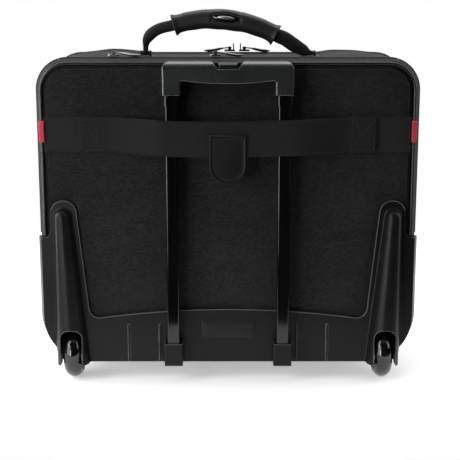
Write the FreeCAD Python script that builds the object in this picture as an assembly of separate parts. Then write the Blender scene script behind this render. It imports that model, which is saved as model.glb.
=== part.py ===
"""Rolling laptop case, as an assembly of its real pieces.

The case stands on two wheels and two front feet.  +Z is up, -Y is the back of the case, where the pull
handle and the wheels are, and +Y is its front, with the organiser pocket.  The origin is on the floor,
under the middle of the object's box.  All lengths are in millimetres.
"""

import FreeCAD
import Part
import math
import os

V = FreeCAD.Vector

# ---------------------------------------------------------------- driving dimensions
# The heights below are drawn with the floor at -LIFT; every piece is raised by LIFT when it is written.
LIFT = 3.0

# body of the case
BODY_HALF = 216.0          # half width of the fabric body
BODY_LOW = 20.0
BODY_TOP = 368.0
BODY_R_LOW = 54.0          # corner radii of the body, seen from behind
BODY_R_HIGH = 35.0
WALL = 3.5                 # padded fabric wall
REAR_FACE = -95.0          # plane of the back panel
REAR_RIM = -93.0
REAR_SHOULDER = -84.0      # where the body reaches its full width
SEAM = 48.0                # main zip: the body ends here and the lid begins
SEAM_GAP = 0.6
LID_SHOULDER = 76.0
LID_FACE = 85.0
RIM_HALF = 211.8           # half width of the body at its rear and front rims
RIM_LOW = 23.0
RIM_TOP = 365.5
FIT = 0.3                  # room left between neighbouring pieces

# base tray
TRAY_LOW = 17.0
TRAY_WALL = 2.5
TRAY_BACK = -98.0
TRAY_HALF = 218.8
TRAY_WING_TOP = 165.0      # the tray's side wings reach this high at the back
ARC_SIDE_Z = 71.0          # top edge of the tray's back plate, at its ends and in the middle
ARC_MID_Z = 81.2
ARC_HALF = 148.0
RIB_X = (79.2, 115.4)
LABEL_HALF = 30.5
LABEL_Z = (46.5, 67.0)

# wheels
WHEEL_X = 180.5
WHEEL_Y = -88.0
WHEEL_R = 30.0
AXLE_Z = WHEEL_R - LIFT
WHEEL_HALF = 10.0
WELL_HALF = 12.0           # half width of the wheel well
WELL_R = 32.6
CHEEK = 4.0                # thickness of the housing's two cheeks
AXLE_R = 4.0
BEARING_R = 11.0
BEARING_W = 7.0
FENDER_BACK = -120.0
FENDER_TOP = 198.8
FENDER_FOOT = 2.5          # radius that blends the fender into the tray's back

# telescopic pull handle: centre of each pair of tubes, then outer sizes in X and Y
TUBE_X = 62.8
TUBE_Y = -107.3
OUTER_TUBE = (14.0, 16.0)
MID_TUBE = (11.5, 13.5)
INNER_TUBE = (9.0, 11.0)
TUBE_WALL = 1.0
TUBE_TOP = 328.5
GRIP_HALF = 72.6
GRIP_BACK = -120.0
GRIP_FRONT = -97.6
GRIP_MID = (GRIP_BACK + GRIP_FRONT) / 2
GRIP_LOW = 329.5
GRIP_TOP = 366.5
GRIP_LEG = 20.3
SCREW_Z = GRIP_TOP - 17.8   # the grip's screws pass below the release bar
ROOM_Z = GRIP_TOP - 17.1    # floor of the room for the release mechanism
GRIP_SPLIT = -108.8

# luggage strap across the back
STRAP_Z = (264.0, 304.0)
STRAP_THICK = 1.6
STRAP_BACK = -117.3
TAB_HALF = 21.0
TAB_Z = (230.5, 286.5)

# carry handle on top: an arc through the two ends of its grip
CARRY_Y = -15.0
PIN_Z = 371.0
PIN_R = 1.5
ANCHOR_X = 97.0
GRIP_LEFT = (-64.0, 403.4)
GRIP_RIGHT = (56.5, 391.8)
GRIP_SAG = 12.2
WEB_THICK = 6.0
WEB_WIDE = 18.0

# zips
TAPE = 1.1
CHAIN = 0.7
REAR_ZIP_Y = -76.0
SLIDER_Z = 370.4

# organiser pocket on the lid
ORG_HALF = 165.0
ORG_Z = (48.0, 300.0)
ORG_R = 26.0
ORG_SEAM = 100.0
ORG_FACE = 120.0
ORG_WALL = 3.0


# ---------------------------------------------------------------- helpers
def box(x0, x1, y0, y1, z0, z1):
    return Part.makeBox(x1 - x0, y1 - y0, z1 - z0, V(x0, y0, z0))


def rod(radius, length, start, direction):
    return Part.makeCylinder(radius, length, V(*start), V(*direction))


def mirrored(shape):
    """The same piece on the other side of the case."""
    return shape.mirror(V(0, 0, 0), V(1, 0, 0))


def pair(shape):
    """A piece and its mirror image, as one group of separate solids."""
    return Part.makeCompound([shape, mirrored(shape)])


def fused(shapes):
    whole = shapes[0].fuse(list(shapes[1:])) if len(shapes) > 1 else shapes[0]
    return whole.removeSplitter()


def wire_xz(half, low, top, r_low, r_high, y):
    """A rectangle with rounded corners in the plane Y = y, the shape of the case seen from behind."""
    corners = [
        (half, low, r_low, -1, 1), (half, top, r_high, -1, -1),
        (-half, top, r_high, 1, -1), (-half, low, r_low, 1, 1),
    ]
    turns = []
    for x, z, r, in_x, in_z in corners:
        centre = (x + in_x * r, z + in_z * r)
        side, end = (x, centre[1]), (centre[0], z)
        middle = (centre[0] - in_x * r * math.sqrt(0.5), centre[1] - in_z * r * math.sqrt(0.5))
        order = (end, middle, side) if (in_x * in_z < 0) else (side, middle, end)
        turns.append([V(p[0], y, p[1]) for p in order])
    edges = []
    for turn, after in zip(turns, turns[1:] + turns[:1]):
        edges.append(Part.Arc(*turn).toShape())
        edges.append(Part.LineSegment(turn[2], after[0]).toShape())
    return Part.Wire(edges)


def slab(profile, y0, y1):
    """The rounded rectangle `profile` (half, low, top, r_low, r_high) as a solid from y0 to y1."""
    return Part.Face(wire_xz(*profile, y0)).extrude(V(0, y1 - y0, 0))


def tapered(profile0, y0, profile1, y1):
    return Part.makeLoft([wire_xz(*profile0, y0), wire_xz(*profile1, y1)], True, True)


def inset(profile, d):
    half, low, top, r_low, r_high = profile
    return (half - d, low + d, top - d, r_low - d, r_high - d)


def polygon(points, plane, extrude):
    """A flat outline of straight edges, its points put in place by `plane`, made solid along `extrude`."""
    corners = [V(*plane(*p)) for p in points]
    return Part.Face(Part.makePolygon(corners + corners[:1])).extrude(V(*extrude))


def outline(pieces):
    """A closed face in the plane Y = 0 from (x, z) paths: two points are a line and three are an arc."""
    edges = []
    for p in pieces:
        points = [V(x, 0, z) for x, z in p]
        edge = Part.Arc(*points) if len(points) == 3 else Part.LineSegment(*points)
        edges.append(edge.toShape())
    return Part.Face(Part.Wire(edges))


def rounded_box(x0, x1, y0, y1, z0, z1, r, axis):
    """A box whose four edges along `axis` have the radius r."""
    whole = box(x0, x1, y0, y1, z0, z1)

    def along(edge):
        run = (edge.Vertexes[1].Point - edge.Vertexes[0].Point).normalize()
        return abs(abs(run.dot(axis)) - 1) < 1e-6

    return whole.makeFillet(r, [e for e in whole.Edges if along(e)])


X, Y, Z = V(1, 0, 0), V(0, 1, 0), V(0, 0, 1)

BODY = (BODY_HALF, BODY_LOW, BODY_TOP, BODY_R_LOW, BODY_R_HIGH)
RIM = (RIM_HALF, RIM_LOW, RIM_TOP, BODY_R_LOW - 4, BODY_R_HIGH - 2)


# ---------------------------------------------------------------- soft body of the case
def body_outer(end):
    return fused([tapered(RIM, REAR_RIM, BODY, REAR_SHOULDER), slab(BODY, REAR_SHOULDER, end)])


def wheel_bay(x0, x1, y1, z1):
    """Room for one wheel housing, mirrored to both sides."""
    return pair(box(x0, x1, REAR_FACE - 5, y1, 0, z1))


def rear_shell():
    hollow_rim = inset(RIM, WALL)
    hollow_body = inset(BODY, WALL)
    hollow = fused([
        tapered(hollow_rim, REAR_RIM - 0.2, hollow_body, REAR_SHOULDER),
        slab(hollow_body, REAR_SHOULDER, SEAM + 1),
    ])
    shell = body_outer(SEAM).cut(hollow)
    shell = shell.cut(wheel_bay(WHEEL_X - 19.0, WHEEL_X + 20.0, -52.2, 62.8))
    return shell.cut(pair(anchor_plate(FIT)))


def back_panel():
    panel = slab(inset(RIM, 4.4), REAR_FACE, REAR_FACE + 4)
    return panel.cut(wheel_bay(WHEEL_X - 19.0, WHEEL_X + 20.0, -52.2, 62.8))


def back_piping():
    ring = slab(inset(RIM, 0.5), REAR_FACE - 2, REAR_RIM - FIT)
    ring = ring.cut(slab(inset(RIM, 4.1), REAR_FACE - 3, REAR_RIM))
    return ring.common(box(-300, 300, -150, 0, TRAY_WING_TOP + 2.2, 400))


def stiffener_boards():
    back = slab(inset(RIM, 6.5), REAR_FACE + 4.3, REAR_FACE + 6.3)
    back = back.cut(wheel_bay(WHEEL_X - 19.5, WHEEL_X + 20.5, -52.2, 63.2))
    base = box(-150, 150, -60, 44, BODY_LOW + WALL + FIT, BODY_LOW + WALL + 2.3)
    return Part.makeCompound([back, base])


def laptop_sleeve():
    """Padded pocket for the laptop, open at its top and held clear of the floor of the case."""
    y0, y1, z0, z1 = REAR_FACE + 6.6, -46.0, 64.0, 300.0
    pad = box(-204, 204, y0, y1, z0, z1)
    return pad.cut(box(-201, 201, y0 + 3, y1 - 6, z0 + 6, z1 + 1))


def lid_shell():
    front = tuple(RIM)
    outer = fused([slab(BODY, SEAM + SEAM_GAP, LID_SHOULDER), tapered(BODY, LID_SHOULDER, front, LID_FACE)])
    hollow = fused([
        slab(inset(BODY, WALL), SEAM, LID_SHOULDER - 1),
        tapered(inset(BODY, WALL), LID_SHOULDER - 1, inset(front, WALL), LID_FACE - WALL),
    ])
    groove = slab(inset(RIM, 0), LID_FACE - 2.2, LID_FACE + 1)
    groove = groove.cut(slab(inset(RIM, 4.4), LID_FACE - 3, LID_FACE + 2))
    return outer.cut(hollow).cut(groove)


def lid_piping():
    ring = slab(inset(RIM, 0.5), LID_FACE - 1.9, LID_FACE + 2)
    return ring.cut(slab(inset(RIM, 4.1), LID_FACE - 3, LID_FACE + 3))


def zip_strip(y0, y1, chain0, chain1, low):
    """Zip tape round both sides and the top of the body, with its raised chain between chain0 and chain1."""
    gap = 0.15
    tape = slab(inset(BODY, -gap - TAPE), y0, y1)
    chain = slab(inset(BODY, -gap - TAPE - CHAIN), chain0, chain1)
    ring = fused([tape, chain]).cut(slab(inset(BODY, -gap), y0 - 1, y1 + 1))
    return ring.common(box(-300, 300, -200, 200, low, 400))


def rear_zip():
    return zip_strip(REAR_ZIP_Y - 6, REAR_ZIP_Y + 6, REAR_ZIP_Y - 2.5, REAR_ZIP_Y + 2.5, TRAY_WING_TOP + 1)


def main_zip_rear():
    return zip_strip(SEAM - 9, SEAM, SEAM - 2.4, SEAM, 66.0)


def main_zip_front():
    front = SEAM + SEAM_GAP
    return zip_strip(front, front + 9, front, front + 2.4, 66.0)


def organiser_profile(d=0.0):
    return (ORG_HALF - d, ORG_Z[0] + d, ORG_Z[1] - d, ORG_R - d, ORG_R - d)


def organiser_base():
    ring = slab(organiser_profile(), LID_FACE + FIT, ORG_SEAM - FIT)
    return ring.cut(slab(organiser_profile(ORG_WALL), LID_FACE, ORG_SEAM))


def organiser_flap():
    shoulder = ORG_FACE - 8
    outer = fused([
        slab(organiser_profile(), ORG_SEAM + FIT, shoulder),
        tapered(organiser_profile(), shoulder, organiser_profile(6.0), ORG_FACE),
    ])
    return outer.cut(slab(organiser_profile(ORG_WALL), ORG_SEAM, shoulder))


# ---------------------------------------------------------------- base tray and wheels
def tray_shell():
    """The tray before trimming: a thin moulding round the back, the sides and the bottom of the body."""
    back = (RIM_HALF + 2.4, TRAY_LOW, BODY_TOP + 20, BODY_R_LOW, 20.0)
    full = (TRAY_HALF, TRAY_LOW, BODY_TOP + 20, BODY_R_LOW + 2, 20.0)
    shoulder = REAR_SHOULDER
    outer = fused([tapered(back, TRAY_BACK, full, shoulder), slab(full, shoulder, SEAM)])
    hollow = fused([
        tapered(inset(back, 2.0), TRAY_BACK + 2.7, inset(full, TRAY_WALL), shoulder - FIT),
        slab(inset(full, TRAY_WALL), shoulder - FIT, SEAM + 1),
    ])
    return outer.cut(hollow), outer


def tray_back_face():
    """Outline of the tray on the back: two tall flanges over the wheels and a low arched plate."""
    inner_r, wing_r = 11.5, 9.6
    turn = wing_r * (1 - math.sqrt(0.5))
    flange_top, flange_in, foot_in = (-188.4, 209.3), (-172.4, 194.8), (-161.0, 83.0)
    outside, wing = -203.2, TRAY_WING_TOP
    left = [
        [(-240, 0), (-240, wing)],
        [(-240, wing), (outside - wing_r, wing)],
        [(outside - wing_r, wing), (outside - turn, wing + turn), (outside, wing + wing_r)],
        [(outside, wing + wing_r), (outside, 193.3)],
        [(outside, 193.3), flange_top, flange_in],
        [flange_in, foot_in],
        [foot_in, (foot_in[0] + inner_r * 0.30, foot_in[1] - inner_r * 0.76), (-ARC_HALF, ARC_SIDE_Z)],
    ]
    right = [[(-x, z) for x, z in reversed(p)] for p in reversed(left)]
    arch = [[(-ARC_HALF, ARC_SIDE_Z), (0, ARC_MID_Z), (ARC_HALF, ARC_SIDE_Z)]]
    return outline(left + arch + right + [[(240, 0), (-240, 0)]])


def fender_section(x, r, back, z):
    """U-shaped section of the fender at height z, its feet blended into the tray's back."""
    yc, foot = back + r, TRAY_BACK - FENDER_FOOT
    turn = FENDER_FOOT * (1 - math.sqrt(0.5))

    def side(s):
        out, edge = x + s * (r + FENDER_FOOT), x + s * r
        base = [V(out, TRAY_BACK + 1, z), V(out, TRAY_BACK, z)]
        blend = Part.Arc(base[1], V(edge + s * turn, TRAY_BACK - turn, z), V(edge, foot, z))
        return [Part.LineSegment(*base).toShape(), blend.toShape()], V(edge, foot, z), base[0]

    left, left_top, left_base = side(-1)
    right, right_top, right_base = side(1)
    a, d = V(x - r, yc, z), V(x + r, yc, z)
    crown = [Part.Arc(a, V(x, back, z), d).toShape()]
    if yc < foot - 0.01:
        crown.insert(0, Part.LineSegment(left_top, a).toShape())
        crown.append(Part.LineSegment(d, right_top).toShape())
    return Part.Wire(left + crown + right[::-1] + [Part.LineSegment(right_base, left_base).toShape()])


def fender():
    """Tapered bulge over the right-hand wheel, with a domed top."""
    top_x, top_r, top_z = 188.6, 8.9, FENDER_TOP - 8.9
    low_x, low_r, low_z = WHEEL_X - 0.3, 19.4, 12.0
    top_back = TRAY_BACK - FENDER_FOOT - top_r
    low = fender_section(low_x, low_r, FENDER_BACK, low_z)
    high = fender_section(top_x, top_r, top_back - 0.1, top_z)
    body = Part.makeLoft([low, high], True, True)
    return fused([body, fender_dome(top_x, top_r, top_z)])


def fender_dome(x, r, z):
    """Rounded top of the fender: a quarter of a ball on a short neck, with the same blend round its foot."""
    foot = TRAY_BACK - FENDER_FOOT
    yc = foot - 0.1
    upper = box(x - 30, x + 30, TRAY_BACK - 30, TRAY_BACK + 1, z, z + 30)
    ball = Part.makeSphere(r, V(0, 0, 0), V(0, 0, 1))
    ball.rotate(V(0, 0, 0), Z, 90)
    ball.rotate(V(0, 0, 0), X, 135)
    ball.translate(V(x, yc, z))
    cap = ball.common(upper).common(box(x - 30, x + 30, TRAY_BACK - 30, yc, 0, 400))
    neck = rod(r, TRAY_BACK + 1 - yc, (x, yc, z), (0, 1, 0)).common(upper)
    turn = FENDER_FOOT * (1 - math.sqrt(0.5))
    p = {
        "top": V(x + r, foot, z), "out": V(x + r + FENDER_FOOT, TRAY_BACK, z),
        "base": V(x + r + FENDER_FOOT, TRAY_BACK + 1, z), "inner": V(x + r - 2, TRAY_BACK + 1, z),
        "inside": V(x + r - 2, foot, z),
    }
    edges = [
        Part.Arc(p["top"], V(x + r + turn, TRAY_BACK - turn, z), p["out"]).toShape(),
        Part.LineSegment(p["out"], p["base"]).toShape(),
        Part.LineSegment(p["base"], p["inner"]).toShape(),
        Part.LineSegment(p["inner"], p["inside"]).toShape(),
        Part.LineSegment(p["inside"], p["top"]).toShape(),
    ]
    ring = Part.Face(Part.Wire(edges)).revolve(V(x, 0, z), V(0, 1, 0), -180)
    return fused([cap, neck, ring])


def wheel_mouth():
    """Arched opening of the well at the back and the bottom of the tray."""
    r, x0, x1 = 11.0, WHEEL_X - WELL_HALF + 0.4, WHEEL_X + WELL_HALF + 1.5
    top = 59.5
    arch = rounded_box(x0, x1, -140, -93, -20, top, r, Y)
    floor = box(WHEEL_X - 16.3, WHEEL_X + 16.3, -95.2, -52.7, 0, 40)
    return fused([arch, floor])


def on_back_rim(edge):
    """Whether an edge belongs to the upper outline of the tray's back face."""
    first, last = edge.FirstParameter, edge.LastParameter
    start, mid, end = (edge.valueAt(p) for p in (first, (first + last) / 2, last))
    flat = all(abs(p.y - TRAY_BACK) < 0.01 for p in (start, mid, end))
    return flat and min(start.z, end.z) > ARC_SIDE_Z - 0.5 and abs(mid.x) < RIM_HALF + 1.0


def base_tray():
    shell, outer = tray_shell()
    back = tray_back_face()
    back.translate(V(0, -200, 0))
    back_zone = back.extrude(V(0, 200 + REAR_SHOULDER - 2, 0))
    start, end = (-80.0, TRAY_WING_TOP), (SEAM + 2, 56.0)
    side = outline([
        [(REAR_SHOULDER - 2.5, -10), (REAR_SHOULDER - 2.5, TRAY_WING_TOP)],
        [(REAR_SHOULDER - 2.5, TRAY_WING_TOP), start],
        [start, (-33.0, 89.0), end],
        [end, (SEAM + 2, -10)],
        [(SEAM + 2, -10), (REAR_SHOULDER - 2.5, -10)],
    ])
    side.rotate(V(0, 0, 0), Z, 90)
    side.translate(V(-250, 0, 0))
    side_zone = side.extrude(V(500, 0, 0))
    tray = shell.common(fused([back_zone, side_zone]))
    tray = tray.makeFillet(0.9, [e for e in tray.Edges if on_back_rim(e)])
    back, face = (RIM_HALF + 2.4, TRAY_LOW, 400, BODY_R_LOW, 20), TRAY_BACK + 1
    skirt = WHEEL_X + WELL_HALF + CHEEK + 1.1
    reach = fused([slab(back, -130, face), box(-skirt, skirt, -130, face, TRAY_LOW, 60)])
    bulge = fender().common(reach)
    tray = fused([tray, bulge, mirrored(bulge)])
    ribs = [rod(1.3, 45, (x, TRAY_BACK, TRAY_LOW + 0.5), (0, 0, 1)) for x in RIB_X]
    tray = fused([tray] + ribs + [mirrored(r) for r in ribs])
    head_room = rod(6.8, 6, (WHEEL_X + WELL_HALF + CHEEK, WHEEL_Y, AXLE_Z), (1, 0, 0))
    tray = tray.cut(pair(fused([wheel_mouth(), head_room])))
    label = rounded_box(-LABEL_HALF, LABEL_HALF, TRAY_BACK - 1, TRAY_BACK + 0.6, *LABEL_Z, 2, Y)
    holes = [rod(1.8, 6, (x, y, TRAY_LOW - 1), (0, 0, 1)) for x, y in rivet_places()]
    return tray.cut(fused([label] + holes))


def rivet_places():
    return [(x, y) for x in (-110, 0, 110) for y in (-70, 30)]


def tray_rivets():
    rivets = []
    for x, y in rivet_places():
        head = rod(4.0, 1.2, (x, y, TRAY_LOW - 1.3), (0, 0, 1))
        rivets.append(fused([head, rod(1.6, 3.6, (x, y, TRAY_LOW - 0.9), (0, 0, 1))]))
    return Part.makeCompound(rivets)


def wheel_housing():
    """Moulded well for the right-hand wheel, with a cheek on each side that carries the axle."""
    x0, x1 = WHEEL_X - WELL_HALF, WHEEL_X + WELL_HALF
    y0, y1, z1 = -94.9, -53.0, 62.2
    block = box(x0 - CHEEK, x1 + CHEEK, y0, y1, BODY_LOW + 0.5, z1)
    lug_r = 10.0
    lugs = rod(lug_r, 2 * (WELL_HALF + CHEEK), (x0 - CHEEK, WHEEL_Y, AXLE_Z), (1, 0, 0))
    lugs = lugs.common(box(0, 300, y0, 0, 0, 100))
    housing = fused([block, lugs])
    housing = housing.cut(rod(WELL_R, 2 * WELL_HALF, (x0, WHEEL_Y, AXLE_Z), (1, 0, 0)))
    housing = housing.cut(box(x0, x1, -130, -66, -10, AXLE_Z))
    return housing.cut(rod(AXLE_R + 0.05, 60, (WHEEL_X - 30, WHEEL_Y, AXLE_Z), (1, 0, 0)))


def axle():
    """Steel axle of the right-hand wheel, with a head outside and a retaining ring inside."""
    half = WELL_HALF + CHEEK
    shaft = rod(AXLE_R, 2 * half + 2.4, (WHEEL_X - half - 1.8, WHEEL_Y, AXLE_Z), (1, 0, 0))
    head = rod(6.0, 1.6, (WHEEL_X + half + FIT, WHEEL_Y, AXLE_Z), (1, 0, 0))
    ring = rod(5.6, 1.0, (WHEEL_X - half - 1.3, WHEEL_Y, AXLE_Z), (1, 0, 0))
    return fused([shaft, head, ring])


def turned(points, x):
    """A solid of revolution about the axle: points are (x from the wheel's middle, radius)."""
    corners = [V(x + dx, WHEEL_Y, AXLE_Z + r) for dx, r in points]
    face = Part.Face(Part.makePolygon(corners + corners[:1]))
    return face.revolve(V(x, WHEEL_Y, AXLE_Z), X, 360)


def tyre(x):
    """Cast tyre with a round tread."""
    half, rim, shoulder = WHEEL_HALF, 20.5, 23.5
    section = ((-half + 2, rim), (-half, shoulder), (half, shoulder), (half - 2, rim))
    p = [V(x + dx, WHEEL_Y, AXLE_Z + r) for dx, r in section]
    tread = Part.Arc(p[1], V(x, WHEEL_Y, AXLE_Z + WHEEL_R), p[2]).toShape()
    sides = [Part.LineSegment(p[0], p[1]).toShape(), tread, Part.LineSegment(p[2], p[3]).toShape()]
    face = Part.Face(Part.Wire(sides + [Part.LineSegment(p[3], p[0]).toShape()]))
    return face.revolve(V(x, WHEEL_Y, AXLE_Z), X, 360)


def hub(x):
    """Moulded hub with a seat for a bearing on each side."""
    half, rim = 8.6, 20.45
    body = turned([(-half, BEARING_R + 0.02), (-half, 14.2), (-4, 15.0), (-half + 0.6, rim),
                   (half - 0.6, rim), (4, 15.0), (half, 14.2), (half, BEARING_R + 0.02),
                   (1.2, BEARING_R + 0.02), (1.2, 8.0), (-1.2, 8.0), (-1.2, BEARING_R + 0.02)], x)
    return body


def bearings(x):
    rings = []
    for side in (-1, 1):
        x0 = x + side * 4.9 - BEARING_W / 2
        race = rod(BEARING_R, BEARING_W, (x0, WHEEL_Y, AXLE_Z), (1, 0, 0))
        rings.append(race.cut(rod(AXLE_R + 0.04, 20, (x0 - 5, WHEEL_Y, AXLE_Z), (1, 0, 0))))
    return Part.makeCompound(rings)


def front_feet():
    foot = rounded_box(122, 166, 24, 42, -LIFT, TRAY_LOW - 0.2, 6, Z)
    return pair(foot)


# ---------------------------------------------------------------- telescopic pull handle
def tube(size, z0, z1, x=TUBE_X):
    """A hollow tube of rectangular section with rounded edges."""
    w, d = size
    outer = rounded_box(x - w / 2, x + w / 2, TUBE_Y - d / 2, TUBE_Y + d / 2, z0, z1, 2.0, Z)
    w, d = w - 2 * TUBE_WALL, d - 2 * TUBE_WALL
    bore = rounded_box(x - w / 2, x + w / 2, TUBE_Y - d / 2, TUBE_Y + d / 2, z0 - 1, z1 + 1, 1.0, Z)
    return outer.cut(bore)


def column(w, d, z0, z1, r=1.0):
    return rounded_box(TUBE_X - w / 2, TUBE_X + w / 2, TUBE_Y - d / 2, TUBE_Y + d / 2, z0, z1, r, Z)


def outer_tube():
    return tube(OUTER_TUBE, 24.2, TUBE_TOP)


def tube_shoe():
    """Socket on the tray that holds the foot of an outer tube."""
    w, d = OUTER_TUBE
    x0, x1, back = TUBE_X - 10.5, TUBE_X + 10.5, TUBE_Y - d / 2 - 2.4
    block = rounded_box(x0, x1, back, TRAY_BACK - 0.2, TRAY_LOW + 1, 44, 2.0, Z)
    return block.cut(column(w + 0.2, d + 0.1, 24, 50, 2.0))


def tube_collar():
    w, d = OUTER_TUBE
    ring = column(w + 2.4, d + 1.8, TUBE_TOP - 11, TUBE_TOP, 2.8)
    return ring.cut(column(w + 0.2, d + 0.2, TUBE_TOP - 12, TUBE_TOP + 1, 2.1))


def tube_bridge():
    """Plate behind the strap that ties both tubes to the back board."""
    plate = rounded_box(-78, 78, -98.2, -95.3, 274, 294, 4, Y)
    screws = [rod(2.6, 1.0, (x, -98.2, 284), (0, -1, 0)) for x in (-38, 0, 38)]
    return fused([plate] + screws)


def mid_tube():
    return tube(MID_TUBE, 30.2, TUBE_TOP + 0.5)


def mid_bushes():
    """Foot and head bushes of the middle tubes."""
    w, d = OUTER_TUBE[0] - 2 * TUBE_WALL - 0.2, OUTER_TUBE[1] - 2 * TUBE_WALL - 0.2
    hole = (INNER_TUBE[0] + 0.5, INNER_TUBE[1] + 0.5)
    foot = column(w, d, 26, 30, 1.0).cut(column(*hole, 20, 40))
    head = column(w + 1.8, d + 1.8, TUBE_TOP + 0.7, TUBE_TOP + 3.4, 1.6).cut(column(*hole, 300, 400))
    return Part.makeCompound([foot, head, mirrored(foot), mirrored(head)])


def inner_tube():
    return tube(INNER_TUBE, 36.2, GRIP_TOP - 16.0)


def lock_plugs():
    """End plug under each inner tube, with a cross bore for its lock pins."""
    plug = column(INNER_TUBE[0] + 0.2, INNER_TUBE[1] + 0.2, 30.6, 36.0)
    return pair(plug.cut(rod(1.5, 20, (TUBE_X - 10, TUBE_Y, 33.3), (1, 0, 0))))


def lock_pins():
    pins = [rod(1.45, 4.0, (TUBE_X + x, TUBE_Y, 33.3), (1, 0, 0)) for x in (-4.4, 0.4)]
    return Part.makeCompound(pins + [mirrored(p) for p in pins])


def grip_body():
    """Outside of the whole grip: a bar with a round top, a shallow arch under it and two legs."""
    leg_in = GRIP_HALF - GRIP_LEG
    r, nook, arch_r, mid_z = 9.0, 2.5, 370.0, GRIP_TOP - 24.8
    k = 1 - math.sqrt(0.5)
    nook_x = leg_in - nook
    rise = math.asin(nook_x / (arch_r + nook))
    nook_z = mid_z + arch_r - (arch_r + nook) * math.cos(rise)
    turn = (math.pi / 2 + rise) / 2
    meet = (-nook_x + nook * math.sin(rise), nook_z + nook * math.cos(rise))
    lean = turn - rise
    left = [
        [meet, (-nook_x - nook * math.sin(lean), nook_z + nook * math.cos(lean)), (-leg_in, nook_z)],
        [(-leg_in, nook_z), (-leg_in, GRIP_LOW)],
        [(-leg_in, GRIP_LOW), (-GRIP_HALF, GRIP_LOW)],
        [(-GRIP_HALF, GRIP_LOW), (-GRIP_HALF, GRIP_TOP - r)],
        [(-GRIP_HALF, GRIP_TOP - r), (-GRIP_HALF + r * k, GRIP_TOP - r * k), (-GRIP_HALF + r, GRIP_TOP)],
    ]
    right = [[(-x, z) for x, z in reversed(p)] for p in reversed(left)]
    top = [[(-GRIP_HALF + r, GRIP_TOP), (GRIP_HALF - r, GRIP_TOP)]]
    under = [[(-meet[0], meet[1]), (0, mid_z), meet]]
    front_view = outline(left + top + right + under)
    front_view.translate(V(0, GRIP_BACK, 0))
    whole = front_view.extrude(V(0, GRIP_FRONT - GRIP_BACK, 0))

    def on_side(edge):
        p = edge.valueAt((edge.FirstParameter + edge.LastParameter) / 2)
        return min(abs(p.y - GRIP_BACK), abs(p.y - GRIP_FRONT)) < 0.01 and p.z > GRIP_LOW + 0.1

    whole = whole.makeFillet(2.0, [e for e in whole.Edges if on_side(e)])
    side_view = rounded_box(-100, 100, GRIP_BACK, GRIP_FRONT, 300, GRIP_TOP, 9.5, X)
    return whole.common(side_view)


def button_notch():
    top_half, low_half, low_z = 18.5, 11.5, GRIP_TOP - 8.4
    points = [(-top_half, GRIP_TOP + 1), (-low_half, low_z), (low_half, low_z), (top_half, GRIP_TOP + 1)]
    return polygon(points, lambda x, z: (x, -130, z), (0, 60, 0))


def grip_solid():
    """The grip with its notch, its tube sockets and the room for the release mechanism."""
    room = fused([
        box(-69, 69, GRIP_MID - 8.6, GRIP_MID + 8.6, ROOM_Z, GRIP_TOP - 9),
        box(-68, 68, GRIP_MID - 4.6, GRIP_MID + 4.6, ROOM_Z, GRIP_TOP - 3.4),
    ])
    w, d = INNER_TUBE[0] + 0.1, INNER_TUBE[1] + 0.1
    below = GRIP_LOW - 5
    sockets = [column(w, d, below, GRIP_TOP - 16), column(14.6, 16.6, below, GRIP_LOW + 3.6, 1.8)]
    well = rounded_box(-11.3, 11.3, GRIP_MID - 7.7, GRIP_MID + 7.7, ROOM_Z, GRIP_TOP + 3, 2.5, Z)
    cut_away = [room, button_notch(), well]
    cut_away += sockets + [mirrored(s) for s in sockets]
    bosses = [rod(2.4, 12, (x, -104.6, SCREW_Z), (0, -1, 0)) for x in grip_screw_x()]
    screw_holes = [rod(1.4, 16, (x, GRIP_FRONT + 1, SCREW_Z), (0, -1, 0)) for x in grip_screw_x()]
    heads = [rod(2.9, 3.2, (x, GRIP_FRONT + 1, SCREW_Z), (0, -1, 0)) for x in grip_screw_x()]
    whole = grip_body().cut(fused(cut_away))
    return fused([whole] + bosses).cut(fused(screw_holes + heads))


def grip_screw_x():
    return (-44, 44)


def grip_housing():
    return grip_solid().common(box(-100, 100, -140, GRIP_SPLIT, 300, 400))


def grip_cover():
    return grip_solid().common(box(-100, 100, GRIP_SPLIT + 0.15, -90, 300, 400))


def grip_screws():
    screws = []
    for x in grip_screw_x():
        head = rod(2.7, 1.8, (x, GRIP_FRONT - 0.2, SCREW_Z), (0, -1, 0))
        screws.append(fused([head, rod(1.35, 11, (x, GRIP_FRONT - 1, SCREW_Z), (0, -1, 0))]))
    return Part.makeCompound(screws)


def release_button():
    """Push button in the notch, with the bar under it that reaches over both tubes."""
    stem = rounded_box(-10.9, 10.9, GRIP_MID - 7.3, GRIP_MID + 7.3, GRIP_TOP - 12.6, GRIP_TOP + 8, 2.3, Z)
    crown = rod(10.4, 40, (-20, GRIP_MID, GRIP_TOP - 11.4), (1, 0, 0))
    bar = box(-66, 66, GRIP_MID - 3.2, GRIP_MID + 4.0, GRIP_TOP - 11, GRIP_TOP - 7.4)
    return fused([stem.common(crown), bar])


def push_rods():
    return pair(rod(2.0, GRIP_TOP - 11.2 - 41, (TUBE_X, TUBE_Y, 41), (0, 0, 1)))


def button_springs():
    """Two return springs under the release bar, wound from 0.7 mm wire."""
    radius, wire_r = 2.4, 0.35
    helix = Part.makeHelix(1.45, 4.7, radius)
    ring = Part.Wire(Part.Circle(V(radius, 0, 0), V(0, 1, 0), wire_r).toShape())
    spring = Part.Wire(helix).makePipeShell([ring], True, True)
    springs = []
    for x in (-28, 28):
        coil = spring.copy()
        coil.translate(V(x, TUBE_Y, ROOM_Z + FIT + wire_r))
        springs.append(coil)
    return Part.makeCompound(springs)


# ---------------------------------------------------------------- luggage strap
def strap_ends():
    """Two lengths of webbing sewn flat on the back panel."""
    return pair(box(136, RIM_HALF - 4.8, -96.8, REAR_FACE - 0.1, *STRAP_Z))


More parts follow.
